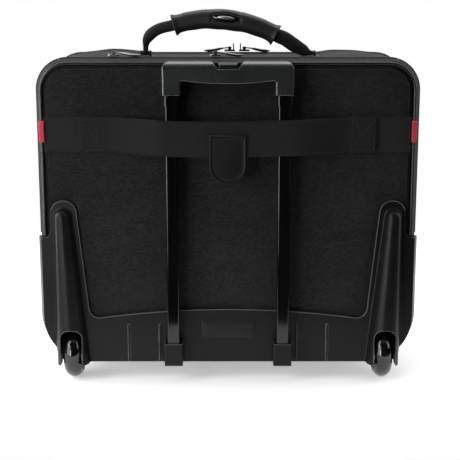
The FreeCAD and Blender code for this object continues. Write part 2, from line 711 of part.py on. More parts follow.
def luggage_strap():
    """Strap that runs over the pull handle's tubes, sewn to the two end pieces."""
    flat, bend, tube_out = -96.9, 136.0, TUBE_X + 9
    inner = STRAP_BACK + STRAP_THICK
    outer = [(-168, flat - STRAP_THICK), (-bend, flat - STRAP_THICK), (-tube_out, STRAP_BACK)]
    path = outer + [(-x, y) for x, y in reversed(outer)]
    back = [(168, flat), (bend + 0.4, flat), (tube_out - 0.2, inner)]
    path += back + [(-x, y) for x, y in reversed(back)]
    return polygon(path, lambda x, y: (x, y, STRAP_Z[0]), (0, 0, STRAP_Z[1] - STRAP_Z[0]))


def strap_tab():
    """Tab with a round end, sewn to the middle of the strap and hanging below it."""
    low, top = TAB_Z
    turn = low + TAB_HALF
    face = outline([
        [(-TAB_HALF, top), (-TAB_HALF, turn)],
        [(-TAB_HALF, turn), (0, low), (TAB_HALF, turn)],
        [(TAB_HALF, turn), (TAB_HALF, top)],
        [(TAB_HALF, top), (-TAB_HALF, top)],
    ])
    face.translate(V(0, STRAP_BACK - 1.9, 0))
    return face.extrude(V(0, 1.8, 0))


def seam_tabs():
    """Small bright loops caught in the seam beside each end of the strap."""
    return pair(box(206.0, 212.4, -98.6, -97.2, 275, 300))


# ---------------------------------------------------------------- carry handle
def anchor_plate(grow=0.0):
    x0, x1, half = ANCHOR_X - 11 - grow, ANCHOR_X + 11 + grow, 12 + grow
    low, top = BODY_TOP - 2.6 - grow, BODY_TOP - 0.4 + grow * 3
    return box(x0, x1, CARRY_Y - half, CARRY_Y + half, low, top)


def handle_anchors():
    """Plates let into the top of the body, each with a pin held between two ears."""
    anchors = [anchor_plate()]
    for x in (ANCHOR_X - 6.4, ANCHOR_X + 3.9):
        ear = rod(3.1, 2.5, (x, CARRY_Y, PIN_Z), (1, 0, 0))
        anchors += [ear, box(x, x + 2.5, CARRY_Y - 3.1, CARRY_Y + 3.1, BODY_TOP - 1, PIN_Z)]
    plate = fused(anchors).cut(rod(PIN_R, 40, (ANCHOR_X - 20, CARRY_Y, PIN_Z), (1, 0, 0)))
    pin = rod(PIN_R, 13.4, (ANCHOR_X - 6.7, CARRY_Y, PIN_Z), (1, 0, 0))
    return Part.makeCompound([plate, pin, mirrored(plate), mirrored(pin)])


def grip_arc():
    """Centre (x, z) and radius of the handle's arc, and the headings at its two ends, in radians."""
    (x0, z0), (x1, z1) = GRIP_LEFT, GRIP_RIGHT
    chord = math.hypot(x1 - x0, z1 - z0)
    radius = chord ** 2 / (8 * GRIP_SAG) + GRIP_SAG / 2
    slope, half_turn = math.atan2(z1 - z0, x1 - x0), math.asin(chord / 2 / radius)
    start = slope + half_turn
    centre = (x0 + radius * math.sin(start), z0 - radius * math.cos(start))
    return centre, radius, start, slope - half_turn


def arc_piece(thick, wide, turn0, turn1, round_r=0.0):
    """A bar along the handle's arc, from turn0 to turn1 radians of heading."""
    (cx, cz), radius, _, _ = grip_arc()
    half_t, half_w, z = thick / 2, wide / 2, cz + radius
    size = (cx - 1, cx + 1, CARRY_Y - half_w, CARRY_Y + half_w, z - half_t, z + half_t)
    section = rounded_box(*size, round_r, X) if round_r else box(*size)
    face = [f for f in section.Faces if abs(f.CenterOfMass.x - (cx - 1)) < 1e-6][0].copy()
    face.translate(V(1, 0, 0))
    axis = V(cx, CARRY_Y, cz)
    face.rotate(axis, Y, -math.degrees(turn0))
    return face.revolve(axis, Y, math.degrees(turn0 - turn1))


def web_bar(p, q, thick=WEB_THICK, wide=WEB_WIDE):
    """A straight length of folded webbing between two (x, z) points."""
    (x0, z0), (x1, z1) = p, q
    length = math.hypot(x1 - x0, z1 - z0)
    bar = box(0, length, CARRY_Y - wide / 2, CARRY_Y + wide / 2, -thick / 2, thick / 2)
    bar.rotate(V(0, 0, 0), Y, -math.degrees(math.atan2(z1 - z0, x1 - x0)))
    bar.translate(V(x0, 0, z0))
    return bar


def web_eye(x):
    """End loop of the webbing round its pin, narrow at the pin so that the handle can fold over."""
    half = 3.4
    eye = rod(3.0, 2 * half, (x - half, CARRY_Y, PIN_Z), (1, 0, 0))
    points = [(-2.9, PIN_Z), (-WEB_WIDE / 2, PIN_Z + 11.5), (WEB_WIDE / 2, PIN_Z + 11.5), (2.9, PIN_Z)]
    neck = polygon(points, lambda y, z: (x - half, CARRY_Y + y, z), (2 * half, 0, 0))
    return fused([eye, neck])


def carry_strap():
    """Webbing core of the handle: a loop on each pin, two risers and the arc through the grip."""
    _, _, start, end = grip_arc()
    (xl, zl), (xr, zr) = GRIP_LEFT, GRIP_RIGHT
    run, bend = 16.0, 25.2
    x0, z0 = xl - run * math.cos(start), zl - run * math.sin(start)
    turn_end = (x0 - bend * (1 - math.sin(start)), z0 - bend * math.cos(start))
    middle = start + (math.pi / 2 - start) / 2
    across, down = math.sin(middle) - math.sin(start), math.cos(start) - math.cos(middle)
    turn_mid = (x0 - bend * across, z0 - bend * down)
    knee = (ANCHOR_X - 2.0, PIN_Z + 10.0)
    bars = fused([
        arc_piece(WEB_THICK, WEB_WIDE, start, end),
        web_bar((x0, z0), (xl + 1, zl + 0.3)),
        web_bar(turn_mid, (x0 + 1, z0 + 0.4)),
        web_bar(turn_end, (turn_mid[0] + 0.4, turn_mid[1] + 0.8)),
        web_bar((xr - 0.2, zr - 0.25), knee),
    ])
    bars = bars.cut(box(-200, 200, -50, 50, 300, PIN_Z + 8.0))
    right_eye = web_eye(ANCHOR_X).cut(box(0, 200, -50, 50, PIN_Z + 11.0, 500))
    whole = fused([bars, web_eye(-ANCHOR_X), right_eye])
    bores = [rod(PIN_R + 0.08, 30, (x - 15, CARRY_Y, PIN_Z), (1, 0, 0)) for x in (-ANCHOR_X, ANCHOR_X)]
    return whole.cut(fused(bores))


def carry_grip():
    """Moulded sleeve round the webbing, with a flared lip at each end."""
    _, _, start, end = grip_arc()
    step = (end - start)
    body = arc_piece(23, 26, start, end, 9.0)
    lip = 0.035 * step
    lips = [arc_piece(27, 29, start, start + lip, 10.0), arc_piece(27, 29, end - lip, end, 10.0)]
    slot = arc_piece(WEB_THICK + 0.8, WEB_WIDE + 0.6, start - 0.02 * step, end + 0.02 * step)
    return fused([body] + lips).cut(slot)


def carry_badge():
    """Plain oval plate on the back face of the grip."""
    (cx, cz), radius, start, end = grip_arc()
    middle = (start + end) / 2
    x, z = cx - radius * math.sin(middle), cz + radius * math.cos(middle)
    curve = Part.Ellipse(V(0, 0, 0), 16.5, 5.0).toShape()
    plate = Part.Face(Part.Wire(curve)).extrude(V(0, 0, 1.0))
    plate.rotate(V(0, 0, 0), X, 90)
    plate.rotate(V(0, 0, 0), Y, -math.degrees(middle))
    plate.translate(V(x, CARRY_Y - 13 - 0.1, z + 1.5))
    return plate


# ---------------------------------------------------------------- zip sliders and pulls
RING_R = 3.6
PULL_PIN = 4.2             # height of a pull's pin above its slider's underside


def slider(x, y, z, ring_side=0):
    """Zip slider at (x, y), its underside at z, with a bail for its pull; ring_side puts the lock ring."""
    body = rounded_box(x - 6.5, x + 6.5, y - 4.6, y + 4.6, z, z + 2.0, 2.5, Z)
    ears = [box(x - 1.9, x + 1.9, y + s * 3.0 - 0.6, y + s * 3.0 + 0.6, z + 1, z + 5.6) for s in (-1, 1)]
    pin = rod(0.9, 7.2, (x, y - 3.6, z + PULL_PIN), (0, 1, 0))
    parts = [body, pin] + ears
    if ring_side:
        ring = Part.makeTorus(RING_R, 0.7, V(x + ring_side * 4.6, y, z + RING_R + 1.9), X)
        parts.append(ring.common(box(-300, 300, -300, 300, z + 1, 500)))
    return fused(parts)


def pull(x, y, z, side):
    """Leaf-shaped pull that lies along X from the slider's pin, towards side."""
    eye = rod(1.9, 4.0, (x, y - 2.0, z + PULL_PIN), (0, 1, 0))
    neck = box(x, x + 9, y - 1.6, y + 1.6, z + PULL_PIN - 0.8, z + PULL_PIN + 0.8)
    leaf = Part.Face(Part.Wire(Part.Ellipse(V(0, 0, 0), 11.5, 3.9).toShape())).extrude(V(0, 0, 1.8))
    leaf.translate(V(x + 20, y, z + PULL_PIN - 0.9))
    whole = fused([eye, neck, leaf]).cut(rod(1.0, 12, (x, y - 6, z + PULL_PIN), (0, 1, 0)))
    if side < 0:
        whole = whole.mirror(V(x, y, z), X)
    return whole


SLIDERS = {
    # name: x, y, underside, side its pull lies on, side of its lock ring
    "rear_slider_left": (-129.0, REAR_ZIP_Y, SLIDER_Z, 1, 0),
    "rear_slider_right": (-14.0, REAR_ZIP_Y, SLIDER_Z, 1, 0),
    "main_slider_left": (2.0, SEAM + SEAM_GAP / 2, SLIDER_Z, -1, 1),
    "main_slider_right": (20.0, SEAM + SEAM_GAP / 2, SLIDER_Z, 1, -1),
    "pocket_slider": (60.0, ORG_SEAM, ORG_Z[1] + 1.4, -1, 0),
}


def nodes():
    """Every sub-part of the case, by the name of its node."""
    left_x, right_x = -WHEEL_X, WHEEL_X
    made = {
        "rear_shell": rear_shell(), "back_panel": back_panel(), "back_piping": back_piping(),
        "stiffener_boards": stiffener_boards(), "laptop_sleeve": laptop_sleeve(), "rear_zip": rear_zip(),
        "main_zip_rear": main_zip_rear(), "base_tray": base_tray(), "tray_rivets": tray_rivets(),
        "front_feet": front_feet(), "wheel_housing_right": wheel_housing(),
        "wheel_housing_left": mirrored(wheel_housing()), "axles": pair(axle()),
        "outer_tube_left": mirrored(outer_tube()), "outer_tube_right": outer_tube(),
        "tube_shoes": pair(tube_shoe()), "tube_collars": pair(tube_collar()), "tube_bridge": tube_bridge(),
        "strap_ends": strap_ends(), "luggage_strap": luggage_strap(), "strap_tab": strap_tab(),
        "seam_tabs": seam_tabs(), "handle_anchors": handle_anchors(),
        "lid_shell": lid_shell(), "lid_piping": lid_piping(), "main_zip_front": main_zip_front(),
        "organiser_base": organiser_base(), "organiser_flap": organiser_flap(),
        "mid_tube_left": mirrored(mid_tube()), "mid_tube_right": mid_tube(), "mid_bushes": mid_bushes(),
        "inner_tube_left": mirrored(inner_tube()), "inner_tube_right": inner_tube(),
        "lock_plugs": lock_plugs(), "lock_pins": lock_pins(), "grip_housing": grip_housing(),
        "grip_cover": grip_cover(), "grip_screws": grip_screws(), "release_button": release_button(),
        "push_rods": push_rods(), "button_springs": button_springs(),
        "tyre_left": tyre(left_x), "hub_left": hub(left_x), "bearings_left": bearings(left_x),
        "tyre_right": tyre(right_x), "hub_right": hub(right_x), "bearings_right": bearings(right_x),
        "carry_strap": carry_strap(), "carry_grip": carry_grip(), "carry_badge": carry_badge(),
    }
    for name, (x, y, z, pull_side, ring_side) in SLIDERS.items():
        made[name] = slider(x, y, z, ring_side)
        made[name.replace("slider", "pull")] = pull(x, y, z, pull_side)
    return made


def main():
    os.makedirs("parts", exist_ok=True)
    for old in os.listdir("parts"):
        os.remove(os.path.join("parts", old))
    low, high = [1e9] * 3, [-1e9] * 3
    made = nodes()
    for name, shape in made.items():
        shape.translate(V(0, 0, LIFT))
        shape.exportStep(f"parts/{name}.step")
        b = shape.BoundBox
        low = [min(a, c) for a, c in zip(low, (b.XMin, b.YMin, b.ZMin))]
        high = [max(a, c) for a, c in zip(high, (b.XMax, b.YMax, b.ZMax))]
        good = all(s.isValid() and s.Volume > 0 for s in shape.Solids)
        if not good or not shape.Solids:
            print("NOT A VALID SOLID:", name, len(shape.Solids))
    print(len(made), "nodes, box", [round(c, 2) for c in low], [round(c, 2) for c in high])


main()
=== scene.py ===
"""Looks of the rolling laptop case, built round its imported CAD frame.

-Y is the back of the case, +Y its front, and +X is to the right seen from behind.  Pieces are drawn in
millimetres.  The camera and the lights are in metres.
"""

from math import asin, atan2, copysign, cos, exp, hypot, pi, radians, sin, sqrt

import bmesh
import bpy
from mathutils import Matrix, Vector, noise


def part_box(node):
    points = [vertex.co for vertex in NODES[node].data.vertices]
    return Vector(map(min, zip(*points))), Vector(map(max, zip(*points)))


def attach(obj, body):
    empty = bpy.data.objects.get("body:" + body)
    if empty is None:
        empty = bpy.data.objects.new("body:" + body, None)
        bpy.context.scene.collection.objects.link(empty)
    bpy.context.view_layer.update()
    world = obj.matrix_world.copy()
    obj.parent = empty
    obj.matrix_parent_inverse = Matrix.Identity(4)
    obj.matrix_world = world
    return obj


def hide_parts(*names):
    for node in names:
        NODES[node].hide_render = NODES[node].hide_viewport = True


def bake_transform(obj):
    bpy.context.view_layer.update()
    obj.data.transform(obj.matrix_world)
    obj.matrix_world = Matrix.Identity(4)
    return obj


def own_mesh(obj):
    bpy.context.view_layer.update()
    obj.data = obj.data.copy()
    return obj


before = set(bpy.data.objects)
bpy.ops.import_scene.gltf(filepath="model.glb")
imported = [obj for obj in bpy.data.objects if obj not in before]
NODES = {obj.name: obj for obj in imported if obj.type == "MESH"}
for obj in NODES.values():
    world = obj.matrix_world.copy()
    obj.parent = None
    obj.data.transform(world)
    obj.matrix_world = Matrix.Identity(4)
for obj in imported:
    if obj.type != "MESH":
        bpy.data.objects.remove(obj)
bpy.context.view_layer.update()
MM = 0.001
LIFT = 3.0                                     # the floor is this far below the drawing's zero
ACROSS, UP, BACKWARDS = Vector((0, 1, 0)), Vector((0, 0, 1)), Vector((0, -1, 0))
SIDES = ((-1, "left"), (1, "right"))

# ---- the case's main dimensions, as in the CAD
BODY = (216.0, 20.0, 368.0, 54.0, 35.0)        # half width, low, top, low and high corner radii
RIM = (211.8, 23.0, 365.5, 50.0, 33.0)
BODY_MID = 194.0
WALL = 3.5
REAR_FACE, REAR_RIM, SHOULDER = -95.0, -93.0, -84.0
SEAM, LID_START, LID_SHOULDER, LID_FACE = 48.0, 48.6, 76.0, 85.0
LID_LINING = 81.0
TRAY_BACK, TRAY_WING = -98.0, 165.0            # depth of the tray's back and height of its wings
WING_END, TRAY_FRONT = -80.0, 50.0             # depths between which the tray's edge curves down
REAR_ZIP_Y, MAIN_ZIP_Y = -76.0, 48.3
ORG_HALF, ORG_LOW, ORG_TOP, ORG_R = 165.0, 48.0, 300.0, 26.0
ORG_MID, ORG_WALL = 174.0, 3.0
ORG_SEAM, ORG_SHOULDER, ORG_FACE, ORG_CROWN = 100.0, 112.0, 119.4, 2.6
PIPING_IN, PIPING_RADIUS = 2.3, 1.95
TOOTH_PITCH = 1.9
STRAP_Z, STRAP_MID = (264.0, 304.0), 284.0
STRAP_HALF, STRAP_WIDE, STRAP_THICK = 168.0, 40.0, 1.5
STRAP_BACK, STRAP_FLAT = -117.3, -97.9         # depths of the strap over the tubes and at its ends
TAB_HALF, TAB_LOW, TAB_TOP = 21.0, 230.5, 286.5
LABEL_HALF, LABEL_Z, LABEL_R = 30.5, (46.5, 67.0), 2.4
CARRY_Y, PIN_Z, ANCHOR_X = -15.0, 371.0, 97.0
GRIP_LEFT, GRIP_RIGHT, GRIP_SAG = (-64.0, 403.4), (56.5, 391.8), 12.2
SLEEVE_HALF, SLEEVE_Y, SLEEVE_Z = 203.0, (-88.4, -46.0), (64.0, 300.0)
PULL_Z, POCKET_PULL_Z = 374.6, 305.6
SPRING_X, SPRING_HEIGHT, SPRING_RADIUS, SPRING_WIRE, SPRING_TURNS = 28.0, 4.7, 2.4, 0.35, 3.24


# ---- small maths
def clamp(v, low=0.0, high=1.0):
    return max(low, min(high, v))


def smooth(v, low, high):
    t = clamp((v - low) / (high - low))
    return t * t * (3 - 2 * t)


def hump(v, low, high):
    """0 outside low..high and 1 in its middle."""
    return sin(pi * clamp((v - low) / (high - low)))


def bell(v, width):
    return exp(-(v / width) ** 2)


def wander(x, y, z, size, seed):
    """Smooth noise whose bumps are about `size` wide."""
    return noise.noise(Vector((x / size + seed, y / size - seed, z / size + 2 * seed)))


def inset(profile, d):
    half, low, top, r_low, r_high = profile
    return (half - d, low + d, top - d, max(r_low - d, 1.0), max(r_high - d, 1.0))


def between(a, b, t):
    return tuple(p + (q - p) * t for p, q in zip(a, b))


def stations(a, b, step):
    n = max(1, round((b - a) / step))
    return [a + (b - a) * i / n for i in range(n + 1)]


def circle(n):
    """Angles of n even steps round a circle."""
    return [2 * pi * k / n for k in range(n)]


def mean(row):
    return sum(row, Vector()) / len(row)


def directions(path):
    """Direction of an open path at each of its points."""
    return [(c - a).normalized() for a, c in zip(path[:1] + path[:-1], path[1:] + path[-1:])]


def resampled(path, step):
    """Points along a path at even distances, with the direction there."""
    found = []
    carry = 0.0
    for a, b in zip(path, path[1:]):
        length = (b - a).length
        if length < 1e-9:
            continue
        along = (b - a) / length
        d = carry
        while d < length:
            found.append((a + along * d, along))
            d += step
        carry = d - length
    return found


# ---- outlines seen from behind
def ring(profile, bottom=40, low_turn=18, side=60, high_turn=14, top=92):
    """Points (x, z, nx, nz) round a rounded rectangle, from the middle of its bottom towards +X."""
    half, low, high, rl, rh = profile
    points = []

    def line(x0, z0, x1, z1, n, nx, nz):
        for i in range(n):
            t = i / n
            points.append((x0 + (x1 - x0) * t, z0 + (z1 - z0) * t, nx, nz))

    def turn(cx, cz, r, a0, a1, n):
        for i in range(n):
            a = radians(a0 + (a1 - a0) * i / n)
            points.append((cx + r * cos(a), cz + r * sin(a), cos(a), sin(a)))

    line(0, low, half - rl, low, bottom, 0, -1)
    turn(half - rl, low + rl, rl, -90, 0, low_turn)
    line(half, low + rl, half, high - rh, side, 1, 0)
    turn(half - rh, high - rh, rh, 0, 90, high_turn)
    line(half - rh, high, -half + rh, high, top, 0, 1)
    turn(-half + rh, high - rh, rh, 90, 180, high_turn)
    line(-half, high - rh, -half, low + rl, side, -1, 0)
    turn(-half + rl, low + rl, rl, 180, 270, low_turn)
    line(-half + rl, low, 0, low, bottom, 0, -1)
    return points


def beside(p, y, out=0.0):
    """The place at depth y that is `out` outside a ring's point."""
    x, z, nx, nz = p
    return Vector((x + nx * out, y, z + nz * out))


def over_the_top(points, low):
    """The part of a ring above a height: up its right side, over the top and down its left side."""
    right = next(i for i, p in enumerate(points) if p[0] > 0 and p[1] > low and p[2] > 0)
    left = max(i for i, p in enumerate(points) if p[0] < 0 and p[1] > low and p[2] < 0)
    return points[right:left + 1]


def circle_through(a, b, c):
    """Centre and radius of the circle through three points."""
    (ax, ay), (bx, by), (cx, cy) = a, b, c
    d = 2 * (ax * (by - cy) + bx * (cy - ay) + cx * (ay - by))
    a2, b2, c2 = ax * ax + ay * ay, bx * bx + by * by, cx * cx + cy * cy
    ux = (a2 * (by - cy) + b2 * (cy - ay) + c2 * (ay - by)) / d
    uy = (a2 * (cx - bx) + b2 * (ax - cx) + c2 * (bx - ax)) / d
    return ux, uy, hypot(ax - ux, ay - uy)


WING_ARC = circle_through((WING_END, TRAY_WING), (-33.0, 89.0), (TRAY_FRONT, 56.0))


def tray_line(y):
    """Height of the tray's top edge on the sides of the case."""
    if y <= WING_END:
        return TRAY_WING
    cy, cz, r = WING_ARC
    return cz - sqrt(max(r * r - (min(y, TRAY_FRONT) - cy) ** 2, 0.0))


def tray_plate(x):
    """Height of the tray's top edge on the back of the case: an arch, a step and the wings' slopes."""
    ax = abs(x)
    if ax < 148:
        return 71.0 + 10.2 * (1 - (ax / 148) ** 2)
    if ax < 161:
        return 71.0 + 0.92 * (ax - 148)
    return min(83.0 + 9.8 * (ax - 161), 209.0)


def body_profile(y):
    if y < SHOULDER:
        return between(RIM, BODY, clamp((y - REAR_RIM) / (SHOULDER - REAR_RIM)))
    if y > LID_SHOULDER:
        return between(BODY, RIM, clamp((y - LID_SHOULDER) / (LID_FACE - LID_SHOULDER)))
    return BODY


def softness(x, z, nx, nz, y):
    """How far the padded wall stands out from its even shape: slack between its stiff seams, flat at them."""
    free = smooth(z - tray_line(y), 3, 40) if y < SEAM + 1 else smooth(z, 22, 70)
    main = hump(y, -68, 39) ** 0.8
    lid = hump(y, 58, 86) ** 0.8
    side, top = abs(nx), max(nz, 0.0)
    belly = side * (3.4 * main + 1.6 * lid) * hump(z, 70, 345)
    anchor = exp(-((abs(x) - ANCHOR_X) / 26) ** 2 - ((y - CARRY_Y) / 26) ** 2)
    corner = bell(abs(x) - 142, 30)
    crown = top * (main * (4.0 * corner - 2.0 * bell(x, 70) - 3.0 * anchor) + lid * (4.6 * corner - 0.5))
    crown -= (9.0 * main + 7.0 * lid) * side * top
    crease = wander(x, y, z, 46, 3.1) * 1.5 + wander(x, y, z, 19, 7.7) * 0.7
    return free * (belly + crown + (main + lid) * crease * (1 - 0.8 * anchor))


def outside(y):
    """Face of the padded wall at depth y."""
    return [beside(p, y, softness(*p, y)) for p in ring(body_profile(y))]


def inside(y):
    """Lining of the wall at depth y; it goes in with the wall where that sinks."""
    return [beside(p, y, min(softness(*p, y), 0.0)) for p in ring(inset(body_profile(y), WALL))]


# ---- mesh making
class Build:
    """Collects points and faces of one piece; a face's mark is the place of its material."""

    def __init__(self):
        self.verts = []
        self.faces = []
        self.marks = []

    def face(self, corners, flip=False, mark=0):
        self.faces.append(corners[::-1] if flip else corners)
        self.marks.append(mark)

    def rows(self, rows, closed=False, flip=False, mark=0):
        """A surface through equal rows of points; closed joins the last point of each row to its first."""
        first = len(self.verts)
        n = len(rows[0])
        for row in rows:
            self.verts.extend(row)
        for j in range(len(rows) - 1):
            for i in range(n if closed else n - 1):
                a, b = first + j * n + i, first + j * n + (i + 1) % n
                self.face((a, b, b + n, a + n), flip, mark)

    def cap(self, row, centre=None, flip=False, mark=0):
        """A fan from a closed row of points to its centre."""
        first, n = len(self.verts), len(row)
        self.verts.extend(row)
        self.verts.append(mean(row) if centre is None else centre)
        for i in range(n):
            self.face((first + i, first + (i + 1) % n, first + n), flip, mark)

    def solid(self, rows):
        """A closed surface through closed rows of points, with both ends capped."""
        self.rows(rows, closed=True)
        self.cap(rows[0])
        self.cap(rows[-1], flip=True)

    def wall(self, outer, inner, ended=False):
        """A padded wall: its face, the lining inside it, and its edge at one end or at both."""
        self.rows(outer, closed=True)
        self.rows(inner, closed=True, flip=True, mark=1)
        self.rows([inner[0], outer[0]], closed=True)
        if ended:
            self.rows([outer[-1], inner[-1]], closed=True)

    def block(self, centre, u, v, w, top):
        """A small block with half sizes u, v, w as vectors, its far side along w smaller by `top`."""
        first = len(self.verts)
        for s, k in ((-1, 1.0), (1, top)):
            for a, b in ((-1, -1), (1, -1), (1, 1), (-1, 1)):
                self.verts.append(centre + u * a * k + v * b * k + w * s)
        for q in ((0, 3, 2, 1), (4, 5, 6, 7), (0, 1, 5, 4), (1, 2, 6, 5), (2, 3, 7, 6), (3, 0, 4, 7)):
            self.face(tuple(first + i for i in q))

    def tube(self, path, radius, sides, closed=False):
        """A round tube along a path of points."""
        ends = (path[-1:], path[:1]) if closed else (path[:1], path[-1:])
        rows, up = [], None
        for before, p, after in zip(ends[0] + path[:-1], path, path[1:] + ends[1]):
            along = (after - before).normalized()
            if up is None:
                up = ACROSS if abs(along.y) < 0.9 else UP
            side = along.cross(up).normalized()
            up = side.cross(along).normalized()
            rows.append([p + side * (radius * cos(a)) + up * (radius * sin(a)) for a in circle(sides)])
        if closed:
            rows.append(list(rows[0]))
        self.rows(rows, closed=True)
        if not closed:
            self.cap(rows[0], path[0])
            self.cap(rows[-1], path[-1], flip=True)

    def piece(self, name, material, body, slot=None, node=None, lined=False, welded=True):
        """The piece as an object: it rides on a body and stands in for a CAD node, which it hides. Its slot
        is not used.
        """
        mesh = bpy.data.meshes.new(name)
        mesh.from_pydata([(v + UP * LIFT) * MM for v in self.verts], [], self.faces)
        mesh.validate()
        mesh.polygons.foreach_set("use_smooth", [True] * len(mesh.polygons))
        mesh.materials.append(material)
        made = bpy.data.objects.new(name, mesh)
        bpy.context.scene.collection.objects.link(made)
        if body:
            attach(made, body)
        if lined:
            mesh.materials.append(LINING)
            mesh.polygons.foreach_set("material_index", self.marks)
        if welded:
            work = bmesh.new()
            work.from_mesh(mesh)
            bmesh.ops.remove_doubles(work, verts=work.verts, dist=0.00002)
            bmesh.ops.recalc_face_normals(work, faces=work.faces)
            work.to_mesh(mesh)
            work.free()
        if node:
            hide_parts(node)
        return made


def cord(name, path, radius, sides, material, body, slot, node=None, closed=False):
    """A piece that is one round tube."""
    b = Build()
    b.tube(path, radius, sides, closed)
    return b.piece(name, material, body, slot, node, welded=False)


# ---- materials
def grey(v):
    return (v, v, v)


def scaled(colour, k):
    return tuple(c * k for c in colour)


def plug(tree, socket, value):
    if isinstance(value, bpy.types.NodeSocket):
        tree.links.new(value, socket)
    else:
        socket.default_value = value


def maths_node(tree, kind, a, b):
    made = tree.nodes.new("ShaderNodeMath")
    made.operation = kind
    plug(tree, made.inputs[0], a)
    plug(tree, made.inputs[1], b)
    return made.outputs[0]


class Shade:
    """A Principled material and short names for the nodes it is made from."""

    def __init__(self, name, base, rough, specular=0.5, metallic=0.0, sheen=0.0, coat=0.0):
        self.material = bpy.data.materials.new(name)
        self.material.use_nodes = True
        self.tree = self.material.node_tree
        self.shader = self.tree.nodes["Principled BSDF"]
        self.set(Base_Color=(*base, 1.0), Roughness=rough, Specular_IOR_Level=specular, Metallic=metallic)
        if sheen:
            self.set(Sheen_Weight=sheen, Sheen_Roughness=0.5)
        if coat:
            self.set(Coat_Weight=coat, Coat_Roughness=0.04)
        coords = self.node("TexCoord")
        self.place = coords.outputs["Object"]
        self.facing = coords.outputs["Normal"]

    def set(self, **inputs):
        for socket, value in inputs.items():
            self.shader.inputs[socket.replace("_", " ")].default_value = value

    def node(self, kind, **inputs):
        made = self.tree.nodes.new("ShaderNode" + kind)
        for socket, value in inputs.items():
            plug(self.tree, made.inputs[socket.replace("_", " ")], value)
        return made

    def maths(self, kind, a, b=0.0):
        return maths_node(self.tree, kind, a, b)

    def plus(self, a, k, b):
        """a * k + b"""
        return self.maths("ADD", self.maths("MULTIPLY", a, k), b)

    def noise(self, scale, detail=3.0, rough=0.5, stretch=None):
        place = self.place
        if stretch:
            place = self.node("Mapping", Vector=place, Scale=stretch).outputs["Vector"]
        made = self.node("TexNoise", Vector=place, Scale=scale, Detail=detail, Roughness=rough)
        return made.outputs["Fac"]

    def cells(self, scale):
        return self.node("TexVoronoi", Vector=self.place, Scale=scale).outputs["Distance"]

    def ramp(self, value, low, high, at=(0.3, 0.7)):
        """Blends two colours or numbers between two values of a pattern."""
        numbers = {} if not isinstance(low, (int, float)) else {"To_Min": low, "To_Max": high}
        fade = self.node("MapRange", Value=value, From_Min=at[0], From_Max=at[1], **numbers)
        if numbers:
            return fade.outputs["Result"]
        mix = self.node("Mix")
        mix.data_type = "RGBA"
        for socket, source in (("Factor", fade.outputs["Result"]), ("A", low), ("B", high)):
            plug(self.tree, mix.inputs[socket], (*source, 1.0) if isinstance(source, tuple) else source)
        return mix.outputs["Result"]

    def sines(self, pitch):
        """Sines of the three coordinates with a period of pitch millimetres."""
        split = self.node("SeparateXYZ", Vector=self.place)
        k = 2 * pi / (pitch * MM)
        return [self.maths("SINE", self.maths("MULTIPLY", split.outputs[axis], k)) for axis in "XYZ"]

    def weave(self, pitch):
        """A plain weave that lies in whichever plane the surface faces."""
        x, y, z = self.sines(pitch)
        split = self.node("SeparateXYZ", Vector=self.facing)
        parts = []
        for a, b, axis in ((x, z, "Y"), (y, z, "X"), (x, y, "Z")):
            weight = self.maths("POWER", self.maths("ABSOLUTE", split.outputs[axis]), 2.0)
            parts.append(self.maths("MULTIPLY", self.maths("MULTIPLY", a, b), weight))
        return self.maths("ADD", self.maths("ADD", parts[0], parts[1]), parts[2])

    def bump(self, height, strength, distance, normal=None):
        made = self.node("Bump", Height=height, Strength=strength, Distance=distance * MM)
        if normal is not None:
            plug(self.tree, made.inputs["Normal"], normal)
        return made.outputs["Normal"]

    def rounded(self, radius):
        """Normals that round every hard edge by radius millimetres."""
        made = self.node("Bevel", Radius=radius * MM)
        made.samples = 6
        return made.outputs["Normal"]

    def finish(self, colour, rough=None, normal=None):
        for socket, value in (("Base Color", colour), ("Roughness", rough), ("Normal", normal)):
            if value is not None:
                plug(self.tree, self.shader.inputs[socket], value)
        return self.material


def nylon(name, dark, light, pitch=2.3, strength=0.55, specular=0.16):
    """Heavy woven nylon, with slubs in its yarn and a faint change of shade over the panel."""
    s = Shade(name, dark, 0.74, specular=specular, sheen=0.03)
    weave = s.weave(pitch)
    slub = s.noise(430, 4.0, 0.7, stretch=(0.55, 1.0, 1.3))
    patch = s.noise(14, 3.0, 0.55)
    tint = s.ramp(s.plus(patch, 0.18, s.plus(weave, 0.09, slub)), dark, light, (0.42, 0.78))
    return s.finish(tint, s.ramp(slub, 0.6, 0.85), s.bump(s.plus(slub, 2.6, weave), strength, 0.3))


def webbing(name, dark, light, across="X", pitch=1.7):
    """Ribbed webbing: ribs across its length and fine lines along it."""
    s = Shade(name, dark, 0.6, specular=0.2, sheen=0.02)
    ribs = s.sines(pitch)["XYZ".index(across)]
    lines = s.sines(0.8)["YZX".index(across)]
    yarn = s.plus(ribs, 0.7, s.maths("MULTIPLY", lines, 0.35))
    fuzz = s.noise(600, 2.0, 0.6)
    worn = s.noise(22, 3.0, 0.6)
    tint = s.ramp(s.plus(yarn, 0.2, s.plus(worn, 0.3, fuzz)), dark, light, (0.4, 1.0))
    return s.finish(tint, s.ramp(fuzz, 0.5, 0.7), s.bump(s.maths("ADD", yarn, fuzz), 0.6, 0.3))


